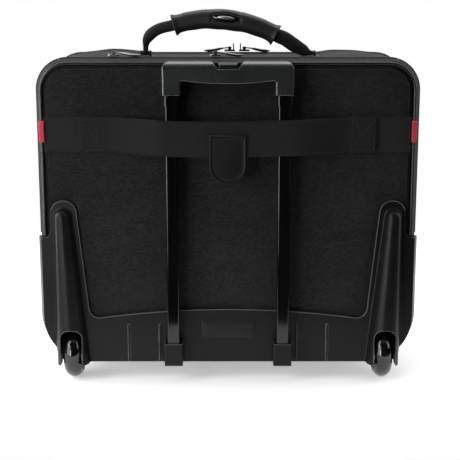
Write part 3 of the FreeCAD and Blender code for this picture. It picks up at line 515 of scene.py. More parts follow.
def moulded(name, base, light, rough, grain, edge, specular=0.5):
    """Satin moulded plastic: spark-eroded grain, and a painted highlight along the rounded edges in the light
    colour, broken up by scuff noise like rubbed wear.
    """
    s = Shade(name, base, rough[0], specular=specular)
    soft = s.rounded(edge)
    dot = s.node("VectorMath")
    dot.operation = "DOT_PRODUCT"
    plug(s.tree, dot.inputs[0], soft)
    plug(s.tree, dot.inputs[1], s.node("NewGeometry").outputs["Normal"])
    edges = s.ramp(dot.outputs["Value"], 1.0, 0.0, (0.8, 0.99))
    scuff = s.noise(60, 4.0, 0.65)
    cloud = s.noise(9, 3.0, 0.5)
    # worn is the painted edge highlight: the rounded-edge mask broken up by scuff noise, turning the colour
    # towards `light`
    worn = s.maths("MULTIPLY", edges, s.ramp(scuff, 0.2, 0.9))
    tint = s.ramp(worn, s.ramp(cloud, base, scaled(base, 1.25)), light, (0.0, 1.0))
    return s.finish(tint, s.ramp(s.noise(35, 3.0, 0.6), *rough), s.bump(s.cells(grain), 0.12, 0.12, soft))


def metal(name, base, rough=(0.22, 0.4), grain=(1, 1, 30)):
    s = Shade(name, base, rough[0], metallic=1.0)
    lines = s.noise(260, 3.0, 0.6, stretch=grain)
    stain = s.noise(40, 2.0, 0.5)
    tint = s.ramp(stain, base, scaled(base, 0.75))
    return s.finish(tint, s.ramp(lines, *rough), s.bump(lines, 0.06, 0.05, s.rounded(0.3)))


def painted_tube(name):
    """Black-coated aluminium tube with faint draw lines along it."""
    s = Shade(name, grey(0.0015), 0.1, specular=0.45)
    streak = s.noise(150, 3.0, 0.6, stretch=(1, 1, 0.03))
    tint = s.ramp(streak, grey(0.001), (0.003, 0.003, 0.0031))
    return s.finish(tint, s.ramp(streak, 0.06, 0.13), s.bump(streak, 0.04, 0.04))


def polyurethane(name):
    """Glossy wheel tread with a little dust on it."""
    s = Shade(name, grey(0.003), 0.1, coat=0.4)
    dust = s.noise(70, 4.0, 0.7)
    tint = s.ramp(dust, grey(0.0022), (0.011, 0.011, 0.0105), (0.45, 0.8))
    return s.finish(tint, s.ramp(dust, 0.05, 0.18, (0.35, 0.75)), s.bump(s.noise(300, 2.0, 0.5), 0.05, 0.08))


def soft_rubber(name, base, rough, specular=0.4):
    s = Shade(name, base, rough[0], specular=specular)
    worn = s.noise(30, 3.0, 0.6)
    tint = s.ramp(worn, base, scaled(base, 1.6))
    return s.finish(tint, s.ramp(worn, *rough), s.bump(s.cells(900), 0.2, 0.15))


def ribbon(name, dark, light):
    s = Shade(name, dark, 0.55, specular=0.3, sheen=0.2)
    yarn = s.plus(s.noise(500, 2.0, 0.6), 1.2, s.sines(1.3)[2])
    return s.finish(s.ramp(yarn, dark, light, (-0.6, 1.6)), None, s.bump(yarn, 0.7, 0.3))


def thread(name, base):
    s = Shade(name, base, 0.5, specular=0.4)
    twist = s.noise(1400, 1.0, 0.5)
    return s.finish(s.ramp(twist, base, scaled(base, 1.8)), None, s.bump(twist, 0.4, 0.1))


NYLON = nylon("nylon_weave", grey(0.0004), (0.0235, 0.024, 0.0228), strength=0.9)
NYLON_SIDE = nylon("nylon_body", grey(0.003), (0.026, 0.0262, 0.0255), 2.6, 0.6, 0.2)
LINING = nylon("lining_cloth", (0.028, 0.029, 0.032), (0.06, 0.062, 0.068), 0.9, 0.25)
PADDING = nylon("padded_tricot", (0.02, 0.021, 0.024), (0.05, 0.051, 0.056), 1.6, 0.4)
WEB_X = webbing("webbing_across", (0.0015, 0.0015, 0.0014), (0.0125, 0.0127, 0.0118))
WEB_END = webbing("webbing_ends", grey(0.003), (0.0195, 0.0197, 0.0187), "X", 2.1)
WEB_UP = webbing("webbing_handle", grey(0.005), (0.02, 0.0202, 0.0195), "Z")
TAPE = webbing("zip_tape_weave", grey(0.005), grey(0.017), "Z", 1.2)
# the second colour of each moulded look is a painted highlight on its rounded edges
PLASTIC = moulded("tray_satin", (0.0052, 0.0058, 0.0055), (0.42, 0.43, 0.42), (0.32, 0.42), 1500, 1.3, 0.17)
HOUSING = moulded("housing_dark", (0.004, 0.0042, 0.0042), grey(0.03), (0.5, 0.62), 1500, 0.5, 0.2)
GRIP = moulded("grip_satin", (0.0135, 0.0148, 0.0148), (0.4, 0.41, 0.41), (0.2, 0.3), 1900, 0.9, 0.95)
BUTTON = moulded("button_gloss", (0.006, 0.0062, 0.0064), grey(0.1), (0.3, 0.4), 2400, 0.5, 0.3)
PIPING = soft_rubber("piping_vinyl", grey(0.01), (0.16, 0.28))
VINYL = soft_rubber("tab_vinyl", (0.005, 0.0054, 0.005), (0.4, 0.52), 0.16)
RUBBER = moulded("grip_rubber", (0.0125, 0.0135, 0.0128), (0.22, 0.23, 0.225), (0.36, 0.5), 700, 0.7, 0.35)
TUBE = painted_tube("tube_black")
TYRE = polyurethane("wheel_polyurethane")
STEEL = metal("plated_steel", (0.55, 0.55, 0.57))
GUNMETAL = metal("gunmetal", (0.24, 0.24, 0.25), (0.2, 0.36), (30, 1, 1))
BLACK_METAL = moulded("black_plated", (0.012, 0.012, 0.0125), grey(0.1), (0.4, 0.55), 900, 0.2, 0.14)
SILVER = metal("badge_brushed", (0.55, 0.56, 0.58), (0.25, 0.4), (1, 1, 20))
RED = ribbon("red_ribbon", (0.4, 0.012, 0.03), (0.8, 0.04, 0.09))
# light grey for the tray's edge bead: a painted highlight
HIGHLIGHT_BEAD = moulded("bead_painted_highlight", (0.085, 0.088, 0.086), grey(0.3), (0.3, 0.4), 900, 0.2, 0.3)
LABEL = moulded("label_satin", (0.0105, 0.0115, 0.0107), grey(0.03), (0.4, 0.5), 1200, 0.4, 0.15)
THREAD = thread("black_thread", (0.016, 0.016, 0.017))
COIL = moulded("zip_coil", (0.02, 0.02, 0.021), grey(0.1), (0.25, 0.4), 2000, 0.2)
BOARD = moulded("fibre_board", (0.05, 0.045, 0.04), (0.1, 0.09, 0.08), (0.7, 0.85), 700, 0.3)

LOOKS = {name: look for look, names in (       # by the nodes' names, without _left and _right
    (PLASTIC, "base_tray front_feet tube_shoes"), (HOUSING, "wheel_housing tube_bridge lock_plugs hub"),
    (STEEL, "tray_rivets axles lock_pins push_rods grip_screws button_springs bearings"), (TYRE, "tyre"),
    (TUBE, "outer_tube mid_tube inner_tube tube_collars mid_bushes"), (GRIP, "grip_housing grip_cover"),
    (BUTTON, "release_button"), (BLACK_METAL, "handle_anchors"), (BOARD, "stiffener_boards"),
) for name in names.split()}
for name, node in NODES.items():
    plated = GUNMETAL if name.startswith("rear") else BLACK_METAL
    other = plated if "slider" in name or "_pull" in name else NYLON_SIDE
    material = LOOKS.get(name.removesuffix("_left").removesuffix("_right"), other)
    node.data.materials.clear()
    node.data.materials.append(material)


# ---- the body and its back panel
rear_ys = [REAR_RIM, -90.5, -87.5, -84.5] + stations(-82, 44, 4.2) + [46, SEAM]
b = Build()
b.wall([outside(y) for y in rear_ys], [inside(y) for y in rear_ys], ended=True)
b.piece("rear_shell_fabric", NYLON_SIDE, "case", "body_fabric", "rear_shell", lined=True)


def rings_inwards(edge, mid, shares, depth):
    """Copies of an outline of (x, z) points shrunk towards its middle, at depth(x, z, share)."""
    rows = []
    for t in shares:
        points = ((x * t, mid + (z - mid) * t) for x, z in edge)
        rows.append([Vector((x, depth(x, z, t), z)) for x, z in points])
    return rows


def face_panel(name, profile, y, out, body, node, bulge, thick=2.0, rings=44):
    """A padded panel that fills an outline, crowned by bulge(x, z, t) towards `out`; t is 1 at its rim."""
    mid = (profile[1] + profile[2]) / 2
    rows = rings_inwards([p[:2] for p in ring(profile)], mid, [j / rings for j in range(1, rings + 1)],
                         lambda x, z, t: y + out * bulge(x, z, t))
    back = [Vector((v.x, y - out * thick, v.z)) for v in rows[-1]]
    b = Build()
    b.cap(rows[0], Vector((0, y + out * bulge(0, mid, 0.0), mid)), flip=out > 0)
    b.rows(rows, closed=True, flip=out < 0)
    b.rows([rows[-1], back], closed=True, flip=out < 0)
    b.cap(back, Vector((0, y - out * thick, mid)), flip=out < 0, mark=1)
    b.piece(name, NYLON, body, "body_fabric", node, lined=True)


def back_bulge(x, z, t):
    """The back panel is padded: it swells between the tray, the piping and the strap."""
    rim = smooth(1 - t, 0.0, 0.07)
    free = smooth(z - tray_plate(x), 1, 26)
    pocket = 1.7 + 0.5 * wander(x, 0, z, 60, 1.3) + 0.45 * wander(x, 0, z, 22, 5.1)
    strap = 0.9 * hump(z, 250, 318) * smooth(abs(x), 60, 120)
    return -0.9 + rim * free * (pocket - strap + 0.5)


def pipe_ring(name, y, body, node, low=None):
    """Cord piping in the seam round a panel, or only above a height of `low`."""
    points = ring(inset(RIM, PIPING_IN))
    path = [beside(p, y) for p in (points if low is None else over_the_top(points, low))]
    cord(name, path, PIPING_RADIUS, 12, PIPING, body, "piping", node, closed=low is None)


face_panel("back_panel_fabric", inset(RIM, 4.5), REAR_FACE, -1, "case", "back_panel", back_bulge)
pipe_ring("back_piping_cord", REAR_FACE - 0.15, "case", "back_piping", low=TRAY_WING + 0.6)


# ---- zips
def teeth(name, path, y, out, body, rows=(-1, 1), gap=None):
    """Rows of moulded teeth along a zip; gap(p) spreads the rows where the zip is open."""
    b = Build()
    for k, (p, along) in enumerate(resampled([beside(q, y, out) for q in path], TOOTH_PITCH / 2)):
        s = 1 if k % 2 else -1
        if s in rows:
            up = Vector((along.z, 0, -along.x))
            centre = p + ACROSS * (s * (0.75 + (gap(p) if gap else 0.0))) + up * 0.1
            b.block(centre, along * 0.42, ACROSS * 1.15, up * 0.62, 0.72)
    b.piece(name, COIL, body, "zip_tape", welded=False)


def tape(name, path, strips, body, node=None, out=0.15, thick=0.9):
    """Flat strips of zip tape along a path, each from one depth to another, with turned edges."""
    b = Build()
    for y0, y1 in strips:
        corners = ((y0, out), (y0, out + thick * 0.8), (y0 + 0.6, out + thick), (y1 - 0.6, out + thick),
                   (y1, out + thick * 0.8), (y1, out))
        rows = [[beside(p, y, o) for p in path] for y, o in corners]
        b.rows(rows + [rows[0]], flip=True)
        for k, flip in ((0, True), (-1, False)):
            first = len(b.verts)
            b.verts.extend(row[k] for row in rows)
            b.face(tuple(range(first, first + len(rows))), flip)
    b.piece(name, TAPE, body, "zip_tape", node)


def rear_gap(p):
    """The rear zip stands a little open between its two sliders."""
    return 0.5 * hump(p.x, -122, -20) if p.z > 360 else 0.0


path = over_the_top(ring(body_profile(REAR_ZIP_Y)), TRAY_WING + 1.5)
tape("rear_zip_tape", path, ((-82, -76.7), (-75.3, -70)), "case", "rear_zip")
teeth("rear_zip_teeth", path, REAR_ZIP_Y, 0.9, "case", gap=rear_gap)

path = over_the_top(ring(body_profile(SEAM)), 67)
for side, body, strip, node in ((-1, "case", (39, 47.6), "main_zip_rear"),
                                (1, "lid", (49.0, 57.6), "main_zip_front")):
    tape("main_zip_tape_" + body, path, (strip,), body, node)
    teeth("main_zip_teeth_" + body, path, MAIN_ZIP_Y, 0.9, body, rows=(side,))


# ---- stitching
def stitches(name, path, out, body, pitch=3.4, length=2.4, radius=0.28):
    """A row of lock stitches along a path; out is the direction they stand proud."""
    b = Build()
    for p, along in resampled(path, pitch):
        b.block(p, along * (length / 2), along.cross(out).normalized() * radius, out * radius, 0.75)
    b.piece(name, THREAD, body, welded=False)


def panel_seam(name, profile, y, out, body, bulge, t, low=lambda x: 0.0):
    """Stitches round a face panel, above a height of low(x)."""
    points = [(x, z) for x, z, _, _ in ring(profile)]
    path = [Vector((x, y + out * (bulge(x, z, t) + 0.1), z)) for x, z in points + points[:1] if z > low(x)]
    stitches(name, path, Vector((0, out, 0)), body)


# ---- lid
def lid_bulge(x, z, t):
    """The lid's face is padded round the pocket and pulled in under it."""
    rim = smooth(1 - t, 0.0, 0.08)
    behind = (smooth(ORG_HALF + 6 - abs(x), 0, 14) * smooth(z, ORG_LOW - 6, ORG_LOW + 8)
              * smooth(ORG_TOP + 6 - z, 0, 14))
    swell = 3.4 + 0.8 * wander(x, 0, z, 50, 9.2) + 0.5 * wander(x, 0, z, 20, 4.4)
    return -0.6 + rim * (1 - behind) * swell + behind * 0.4


lid_ys = [LID_START, 50] + stations(53, LID_SHOULDER, 3.4) + [78, 80.5, 83, 84.6]
outer = [outside(y) for y in lid_ys]
inner = [inside(y) for y in (LID_START, 52, 56, 60, 64, 68, 72, 75, 78, LID_LINING)]
b = Build()
b.wall(outer, inner)
b.cap(inner[-1], Vector((0, LID_LINING, BODY_MID)), flip=True, mark=1)
b.cap(outer[-1], Vector((0, 84.4, BODY_MID)))
b.piece("lid_shell_fabric", NYLON_SIDE, "lid", "body_fabric", "lid_shell", lined=True)
face_panel("lid_panel_fabric", inset(RIM, 4.5), LID_FACE, 1, "lid", None, lid_bulge, thick=0.4)
pipe_ring("lid_piping_cord", LID_FACE + 0.1, "lid", "lid_piping")


# ---- organiser pocket
def org_ring(d=0.0):
    return ring((ORG_HALF - d, ORG_LOW + d, ORG_TOP - d, ORG_R - d, ORG_R - d), 32, 8, 44, 8, 66)


def org_soft(x, z, nx, nz, y):
    """How far the pocket's wall stands out: slack on both sides of its zip."""
    base = (0.6 + wander(x, y, z, 40, 2.2) * 1.2 + wander(x, y, z, 16, 6.2) * 0.6) * hump(y, 86, 99)
    return base + (0.8 + wander(x, y, z, 34, 8.8) * 1.1) * hump(y, 101, 114)


def org_outside(y, d=0.0):
    return [beside(p, y, org_soft(*p, y)) for p in org_ring(d)]


def org_inside(y):
    return [beside(p, y) for p in org_ring(ORG_WALL)]


def flap_depth(x, z, t):
    """The flap's face is crowned and a little uneven."""
    inner = smooth(1 - t, 0, 0.2)
    y = ORG_FACE + ORG_CROWN * smooth(1 - t, 0, 0.25) + 0.7 * wander(x, 0, z, 55, 6.6) * inner
    return y + 0.4 * wander(x, 0, z, 21, 3.6) * inner


ys = (85.4, 87, 89.5, 92, 94.5, 97, 99.6)
b = Build()
b.wall([org_outside(y) for y in ys], [org_inside(y) for y in ys], ended=True)
b.piece("organiser_base_fabric", NYLON_SIDE, "lid", "body_fabric", "organiser_base", lined=True)

outer = [org_outside(y) for y in (100.4, 102, 104.5, 107, 109.5)]
outer += [org_outside(y, d) for y, d in ((ORG_SHOULDER, 0.2), (114.5, 1.2), (116.8, 3.0), (118.6, 5.6),
                                         (ORG_FACE, 8.2))]
inner = [org_inside(y) for y in (100.4, 104, 108, ORG_SHOULDER)]
face = rings_inwards([(v.x, v.z) for v in outer[-1]], ORG_MID, [1 - j / 31 for j in range(1, 31)], flap_depth)
b = Build()
b.wall(outer, inner)
b.rows([outer[-1]] + face, closed=True)
b.cap(face[-1], Vector((0, ORG_FACE + ORG_CROWN, ORG_MID)))
b.cap(inner[-1], Vector((0, ORG_SHOULDER, ORG_MID)), flip=True, mark=1)
b.piece("organiser_flap_fabric", NYLON, "pocket_flap", "body_fabric", "organiser_flap", lined=True)

path = over_the_top(org_ring(), 66)
for name, body, strip, side in (("pocket_tape_base", "lid", (93.5, 99.4), -1),
                                ("pocket_tape_flap", "pocket_flap", (100.6, 106.5), 1)):
    tape(name, path, (strip,), body, out=1.0, thick=0.7)
    teeth(name + "_teeth", path, ORG_SEAM, 1.3, body, rows=(side,))


# ---- straps
def band(name, path, wide, width, thick, material, body, slot="webbing", across=9, node=None):
    """Webbing along a path: wide is the direction of its width; width and thickness may change along it."""
    rows = []
    for i, (p, along) in enumerate(zip(path, directions(path))):
        out = along.cross(wide).normalized()
        at = i / (len(path) - 1)
        w = width(at) if callable(width) else width
        th = thick(at) if callable(thick) else thick
        row = []
        for side, ks in ((1, range(across + 1)), (-1, range(across, -1, -1))):
            for t in (-1 + 2 * k / across for k in ks):
                row.append(p + wide * (t * w / 2) + out * (side * (th / 2 * (1 - abs(t) ** 6 * 0.35))))
        rows.append(row)
    b = Build()
    b.solid(rows)
    b.piece(name, material, body, slot, node)


def strap_point(x):
    """The strap's middle at x: flat at its ends, standing over the tubes and sagging in the middle."""
    out = STRAP_BACK + 0.8
    y = out + (STRAP_FLAT - out) * smooth(abs(x), 70, 139) + 0.25 * wander(x, 0, 0, 24, 1.1)
    drop = -3.2 * cos(pi * clamp(abs(x) / STRAP_HALF) / 2) ** 2 + 0.4 * sin(x / 31)
    return Vector((x, y, STRAP_MID + drop))


band("luggage_strap_webbing", [strap_point(x) for x in stations(-STRAP_HALF, STRAP_HALF, 3)], UP, STRAP_WIDE,
     STRAP_THICK, WEB_X, "case", node="luggage_strap")
for s, side in SIDES:
    line = [Vector((s * x, -96.0, STRAP_MID + 0.3 * sin(x / 17))) for x in stations(136, 207, 3)]
    node = "strap_ends" if s < 0 else None
    band("strap_end_" + side, line, UP, STRAP_WIDE, STRAP_THICK, WEB_END, "case", node=node)

for s, side in SIDES:
    x0, x1 = sorted((s * 139.5, s * 164.5))
    z0, z1 = STRAP_Z[0] + 3.5, STRAP_Z[1] - 3.5
    corners = [Vector((x, -98.75, z)) for x, z in ((x0, z0), (x1, z0), (x1, z1), (x0, z1))]
    cross = [corners[k] for k in (0, 1, 2, 3, 0, 2, 3, 1)]
    stitches("strap_cross_" + side, cross, BACKWARDS, "case", 2.9, 2.1, 0.3)
    seam = [Vector((s * 204.5, -96.85, z)) for z in (STRAP_Z[0] + 1, STRAP_Z[1] - 1)]
    stitches("strap_bar_" + side, seam, BACKWARDS, "case", 2.6, 1.9, 0.3)


def tab_outline(d=0.0, n=20, m=8):
    """The tab's outline, d inside its edge: square at its top and round at its foot."""
    half, top, mid = TAB_HALF - d, TAB_TOP - d, TAB_LOW + TAB_HALF
    points = [(-half, top - (top - mid) * i / m) for i in range(m)]
    points += [(-half * cos(pi * i / n), mid - half * sin(pi * i / n)) for i in range(n + 1)]
    return points + [(half, mid + (top - mid) * i / m) for i in range(1, m + 1)]


def tab_point(x, z, out):
    """The tab lies on the strap and hangs a little way from it below."""
    below = 262 - z
    y = STRAP_BACK - 0.25 + 0.9 * smooth(below, 0, 30) * (x / TAB_HALF) ** 2 - 0.8 * smooth(below, 0, 34)
    return Vector((x, y + out, z))


levels = ((0.0, 0.1), (0.0, -1.2), (0.7, -1.75), (2.6, -1.8), (3.2, -1.25), (4.2, -1.25),
          (8.0, -1.35), (13.0, -1.45), (19.0, -1.5))    # how far inside the outline, and depth from the strap
rows = [[tab_point(x, z, out) for x, z in tab_outline(d)] for d, out in levels]
b = Build()
b.rows(rows, closed=True, flip=True)
b.cap(rows[-1], flip=True)
b.cap(rows[0])
b.piece("strap_tab_vinyl", VINYL, "case", "tab_skin", "strap_tab")

path = [tab_point(x, z, -1.4) for x, z in tab_outline(5.2)]
stitches("tab_stitch", path + path[:1], BACKWARDS, "case", 2.8, 2.0, 0.24)

corners = ((-7.5, 241), (7.5, 241), (7.5, 251), (-7.5, 251))
path = []
for a, c in zip(corners, corners[1:] + corners[:1]):
    path += [Vector((x, tab_point(*a, -1.5).y, z)) for x, z in (between(a, c, k / 8) for k in range(8))]
cord("tab_emboss", path, 0.55, 8, VINYL, "case", "tab_skin", closed=True)

for s, side in SIDES:
    line = []
    for a in (pi * (i / 18 - 0.5) for i in range(19)):
        reach = 5.6 * cos(a) * (0.8 if abs(sin(a)) > 0.9 else 1)
        line.append(Vector((s * (206.6 + reach), -97.9 - 0.9 * sin(a), 287.5)))
    node = "seam_tabs" if s < 0 else None
    band("seam_loop_" + side, line, UP, 24.0, 0.8, RED, "case", "red_loop", 8, node)


# ---- bead along the tray's top edge, coloured light as a painted highlight, and the tray's label
def tray_edge():
    """The tray's top edge on the back of the case, read from its CAD node, from left to right in millimetres.
    It lies between the flat back, which faces -Y, and one face that leans up or towards the middle."""
    mesh = bmesh.new()
    mesh.from_mesh(NODES["base_tray"].data)
    bmesh.ops.remove_doubles(mesh, verts=mesh.verts, dist=0.00001)
    lowest = LIFT + LABEL_Z[1] + 1.5
    links = {}
    for edge in mesh.edges:
        a, c = (v.co / MM for v in edge.verts)
        if len(edge.link_faces) == 2 and max(abs(a.y - TRAY_BACK), abs(c.y - TRAY_BACK)) < 0.05:
            leaning = [f.normal for f in edge.link_faces if f.normal.y > -0.9995]
            inwards = len(leaning) == 1 and (leaning[0].z > 0.02 or leaning[0].x * a.x < 0)
            if inwards and min(a.z, c.z) > lowest:
                for v, w in (edge.verts, reversed(edge.verts)):
                    links.setdefault(v.index, []).append(w.index)
    mesh.verts.ensure_lookup_table()
    chains, used = [], set()
    for start in sorted(links, key=lambda i: (len(links[i]), mesh.verts[i].co.x)):
        if start in used:
            continue
        chain, at = [], start
        while at is not None:
            used.add(at)
            chain.append(mesh.verts[at].co / MM - UP * LIFT)
            at = next((k for k in links[at] if k not in used), None)
        chains.append(chain)
    mesh.free()
    return max(chains, key=lambda chain: sum((c - a).length for a, c in zip(chain, chain[1:])), default=[])


# a thin cord along the tray's top edge stands for its rounded lip; its light colour paints the highlight that
# lip catches
path = [p + Vector((0, 0.35, -0.1)) for p in tray_edge()]
if len(path) > 1:
    cord("tray_edge_highlight_bead", path, 0.55, 8, HIGHLIGHT_BEAD, "case", "tray_plastic")


def rounded_row(half, low, high, turn, y, steps=6):
    """A rounded rectangle at depth y, anticlockwise seen from behind."""
    row = []
    for quarter, (sx, sz) in enumerate(((1, 1), (-1, 1), (-1, -1), (1, -1))):
        cx, cz = sx * half, high if sz > 0 else low
        for a in (pi / 2 * (quarter + k / steps) for k in range(steps + 1)):
            row.append(Vector((cx - sx * turn + turn * cos(a), y, cz - sz * turn + turn * sin(a))))
    return row


LABEL_PROUD = 0.5
low, high = LABEL_Z
rows = [rounded_row(LABEL_HALF + grow, low - grow, high + grow, LABEL_R, TRAY_BACK + out)
        for grow, out in ((0.9, LABEL_PROUD), (0.9, -0.25), (0.5, -LABEL_PROUD))]
rows.append(rounded_row(20.0, 54.0, 59.0, 1.0, TRAY_BACK - LABEL_PROUD))
b = Build()
b.rows(rows, closed=True)
b.cap(rows[0], Vector((0, TRAY_BACK + LABEL_PROUD, (low + high) / 2)))
b.cap(rows[-1], Vector((0, TRAY_BACK - LABEL_PROUD, (low + high) / 2)), flip=True)
b.piece("tray_label_plate", LABEL, "case", "tray_plastic")


# ---- carry handle
def grip_arc():
    """Centre and radius of the grip's arc, and its headings at both ends."""
    (x0, z0), (x1, z1) = GRIP_LEFT, GRIP_RIGHT
    chord = hypot(x1 - x0, z1 - z0)
    radius = chord ** 2 / (8 * GRIP_SAG) + GRIP_SAG / 2
    slope, half = atan2(z1 - z0, x1 - x0), asin(chord / 2 / radius)
    start = slope + half
    return (x0 + radius * sin(start), z0 - radius * cos(start)), radius, start, slope - half


GRIP_CENTRE, GRIP_RADIUS, GRIP_START, GRIP_END = grip_arc()


def handle_point(x, z):
    return Vector((x, CARRY_Y, z))


def arc_point(t, off=0.0):
    """The arc's point at t from 0 to 1, and the directions along and up from it there."""
    heading = GRIP_START + (GRIP_END - GRIP_START) * t
    s, c, r = sin(heading), cos(heading), GRIP_RADIUS + off
    return handle_point(GRIP_CENTRE[0] - r * s, GRIP_CENTRE[1] + r * c), Vector((c, 0, s)), Vector((-s, 0, c))


def curve_through(points, n):
    """Smooth curve through points (Catmull-Rom), n steps from each to the next."""
    p = [points[0] * 2 - points[1]] + points + [points[-1] * 2 - points[-2]]
    out = []
    for a, b, c, d in zip(p, p[1:], p[2:], p[3:]):
        for t in (k / n for k in range(n)):
            out.append(0.5 * (2 * b + (c - a) * t + (2 * a - 5 * b + 4 * c - d) * t * t
                              + (3 * b - a - 3 * c + d) * t ** 3))
    return out + points[-1:]


def carry_width(t):
    return 6.8 + 11.0 * min(smooth(t, 0.0, 0.16), smooth(1 - t, 0.02, 0.2))


def carry_thick(t):
    """The webbing is folded on itself and swells towards the grip."""
    swell = 7.0 * smooth(t, 0.04, 0.17) * smooth(1 - t, 0.0, 0.05)
    return 6.0 + swell + 3.6 * smooth(t, 0.7, 0.8) * smooth(1 - t, 0.03, 0.12)


left = [handle_point(x - ANCHOR_X, PIN_Z + z)
        for x, z in ((-0.2, -0.4), (0, 8), (1.6, 15.5), (7.4, 23.0), (17.5, 28.6))]
middle = [arc_point(i / 8)[0] for i in range(9)]
right = [handle_point(x, z) for x, z in ((67, 387.6), (77, 380.8), (87.5, 375.0))]
right.append(handle_point(ANCHOR_X + 0.4, PIN_Z - 0.4))
path = curve_through(left + middle + right, 8)
band("carry_strap_webbing", path, ACROSS, carry_width, carry_thick, WEB_UP, "carry_handle", across=7,
     node="carry_strap")
for s, side in SIDES:
    eye = [handle_point(s * ANCHOR_X - 3.3 + 6.6 * i / 6, PIN_Z) for i in range(7)]
    cord("carry_eye_" + side, eye, 2.9, 16, WEB_UP, "carry_handle", "webbing")
for side, part in (("left", path[6:34]), ("right", path[-30:-8])):
    for edge, y in (("_a", CARRY_Y - 7.2), ("_b", CARRY_Y + 7.2)):
        line = [Vector((p.x, y, p.z)) for p in part]
        line = [p + Vector((-along.z, 0, along.x)) * 3.6 for p, along in zip(line, directions(line))]
        stitches("carry_seam_" + side + edge, line, UP, "carry_handle", 3.0, 2.1, 0.26)


def squared(a, power):
    """Cosine and sine of a corner-filling oval."""
    return (copysign(abs(f(a)) ** power, f(a)) for f in (cos, sin))


def grip_row(t, sides=40):
    """The grip's outline at t: flared at its ends, ribbed on top beside a seat for the badge."""
    centre, _, up = arc_point(t)
    lip = bell(t, 0.028) + bell(1 - t, 0.028)
    swell = 1.0 + 0.13 * bell(t - 0.5, 0.17)
    half_high, half_wide = 10.6 * swell + 2.0 * lip, 12.4 * swell + 1.4 * lip
    row = []
    for a in circle(sides):
        c, s = cos(a), sin(a)
        y, z = squared(a, 0.72)
        y, z = y * half_wide, z * half_high
        ribs = seat = 0.0
        if 0.10 < t < 0.33 or 0.64 < t < 0.87:
            ribs = 0.85 * (0.5 + 0.5 * cos(2 * pi * t * 42)) * smooth(s, 0.45, 0.8)
        if s < -0.3:
            ribs -= 0.5 * (0.5 + 0.5 * cos(2 * pi * t * 5.0)) * smooth(-s, 0.3, 0.9)
        oval = ((t - 0.5) / 0.145) ** 2 + ((z - 2.0) / 6.2) ** 2
        if c < 0 and oval < 1.4:
            seat = 1.3 * smooth(1.25 - oval, 0.0, 0.35)
        waist = 1.0 - 0.10 * smooth(-s, 0.2, 1.0)
        row.append(centre + Vector((0, y * waist + seat, 0)) + up * (z + ribs))
    return row


def grip_mouth(t, inwards, sides=40):
    """The slot that the webbing enters at an end of the grip: its deep row and its front row."""
    centre, along, up = arc_point(t)
    front = []
    for y, z in (squared(a, 0.4) for a in circle(sides)):
        front.append(centre + (Vector((0, y * 10.4, 0)) + up * (z * 3.6)))
    return [p + along * (5 * inwards) for p in front], front


rows = [grip_row(i / 96) for i in range(97)]
deep_left, front_left = grip_mouth(0, 1)
deep_right, front_right = grip_mouth(1, -1)
b = Build()
b.rows(rows, closed=True)
b.rows([deep_left, front_left, rows[0]], closed=True)
b.rows([rows[-1], front_right, deep_right], closed=True)
b.piece("carry_grip_rubber", RUBBER, "carry_handle", "grip_rubber", "carry_grip")

badge, along, up = arc_point(0.5, 2.0)
for name, half_wide, half_high, y0, y1, look, node in (
        ("badge_bezel", 15.6, 5.0, -27.4, -28.3, TUBE, None),
        ("badge_plate", 10.2, 2.1, -28.2, -28.9, SILVER, "carry_badge")):
    rows = [[Vector((badge.x, y, badge.z)) + along * (half_wide * k * cos(a)) + up * (half_high * k * sin(a))
             for a in circle(48)] for k, y in ((1.0, y0), (1.0, y1 + 0.35), (0.96, y1), (0.0, y1 - 0.25))]
    b = Build()
    b.rows(rows, closed=True)
    b.cap(rows[0], Vector((badge.x, y0, badge.z)))
    b.piece(name, look, "carry_handle", "badge_metal", node)


# ---- laptop sleeve
def sleeve_point(across, high, y, puff):
    """A point of the sleeve's quilted front: across and high run from 0 to 1."""
    x = SLEEVE_HALF * (2 * across - 1)
    z = SLEEVE_Z[0] + 3 + (SLEEVE_Z[1] - SLEEVE_Z[0] - 3) * high
    quilt = (abs(sin(pi * (x + SLEEVE_HALF) / (SLEEVE_HALF / 2))) ** 0.5
             * abs(sin(pi * (z - SLEEVE_Z[0]) / 79)) ** 0.5)
    return Vector((x, y + puff * quilt * hump(x, -SLEEVE_HALF - 1, SLEEVE_HALF + 1) ** 0.2, z))


sleeve_back, sleeve_front = SLEEVE_Y
low, high = SLEEVE_Z
b = Build()
for y, puff, flip in ((sleeve_front - 2.2, 2.0, False), (sleeve_front - 5.2, -0.6, True)):
    b.rows([[sleeve_point(i / 60, k / 36, y, puff) for i in range(61)] for k in range(37)], flip=flip)
for line in (((sleeve_back + 1, low + 4), (sleeve_front - 4, low + 4)),
             ((sleeve_back + 1.2, low + 4), (sleeve_back + 1.2, high))):
    b.rows([[Vector((x, y, z)) for x in (-SLEEVE_HALF, SLEEVE_HALF)] for y, z in line])
b.piece("laptop_sleeve_padding", PADDING, "case", "lining_foam", "laptop_sleeve", welded=False)
path = [Vector((x, sleeve_front - 3.7 + 0.8 * sin(x / 37), high + 0.6))
        for x in stations(-SLEEVE_HALF, SLEEVE_HALF, 6)]
cord("sleeve_binding", path, 2.3, 10, WEB_X, "case", "webbing")


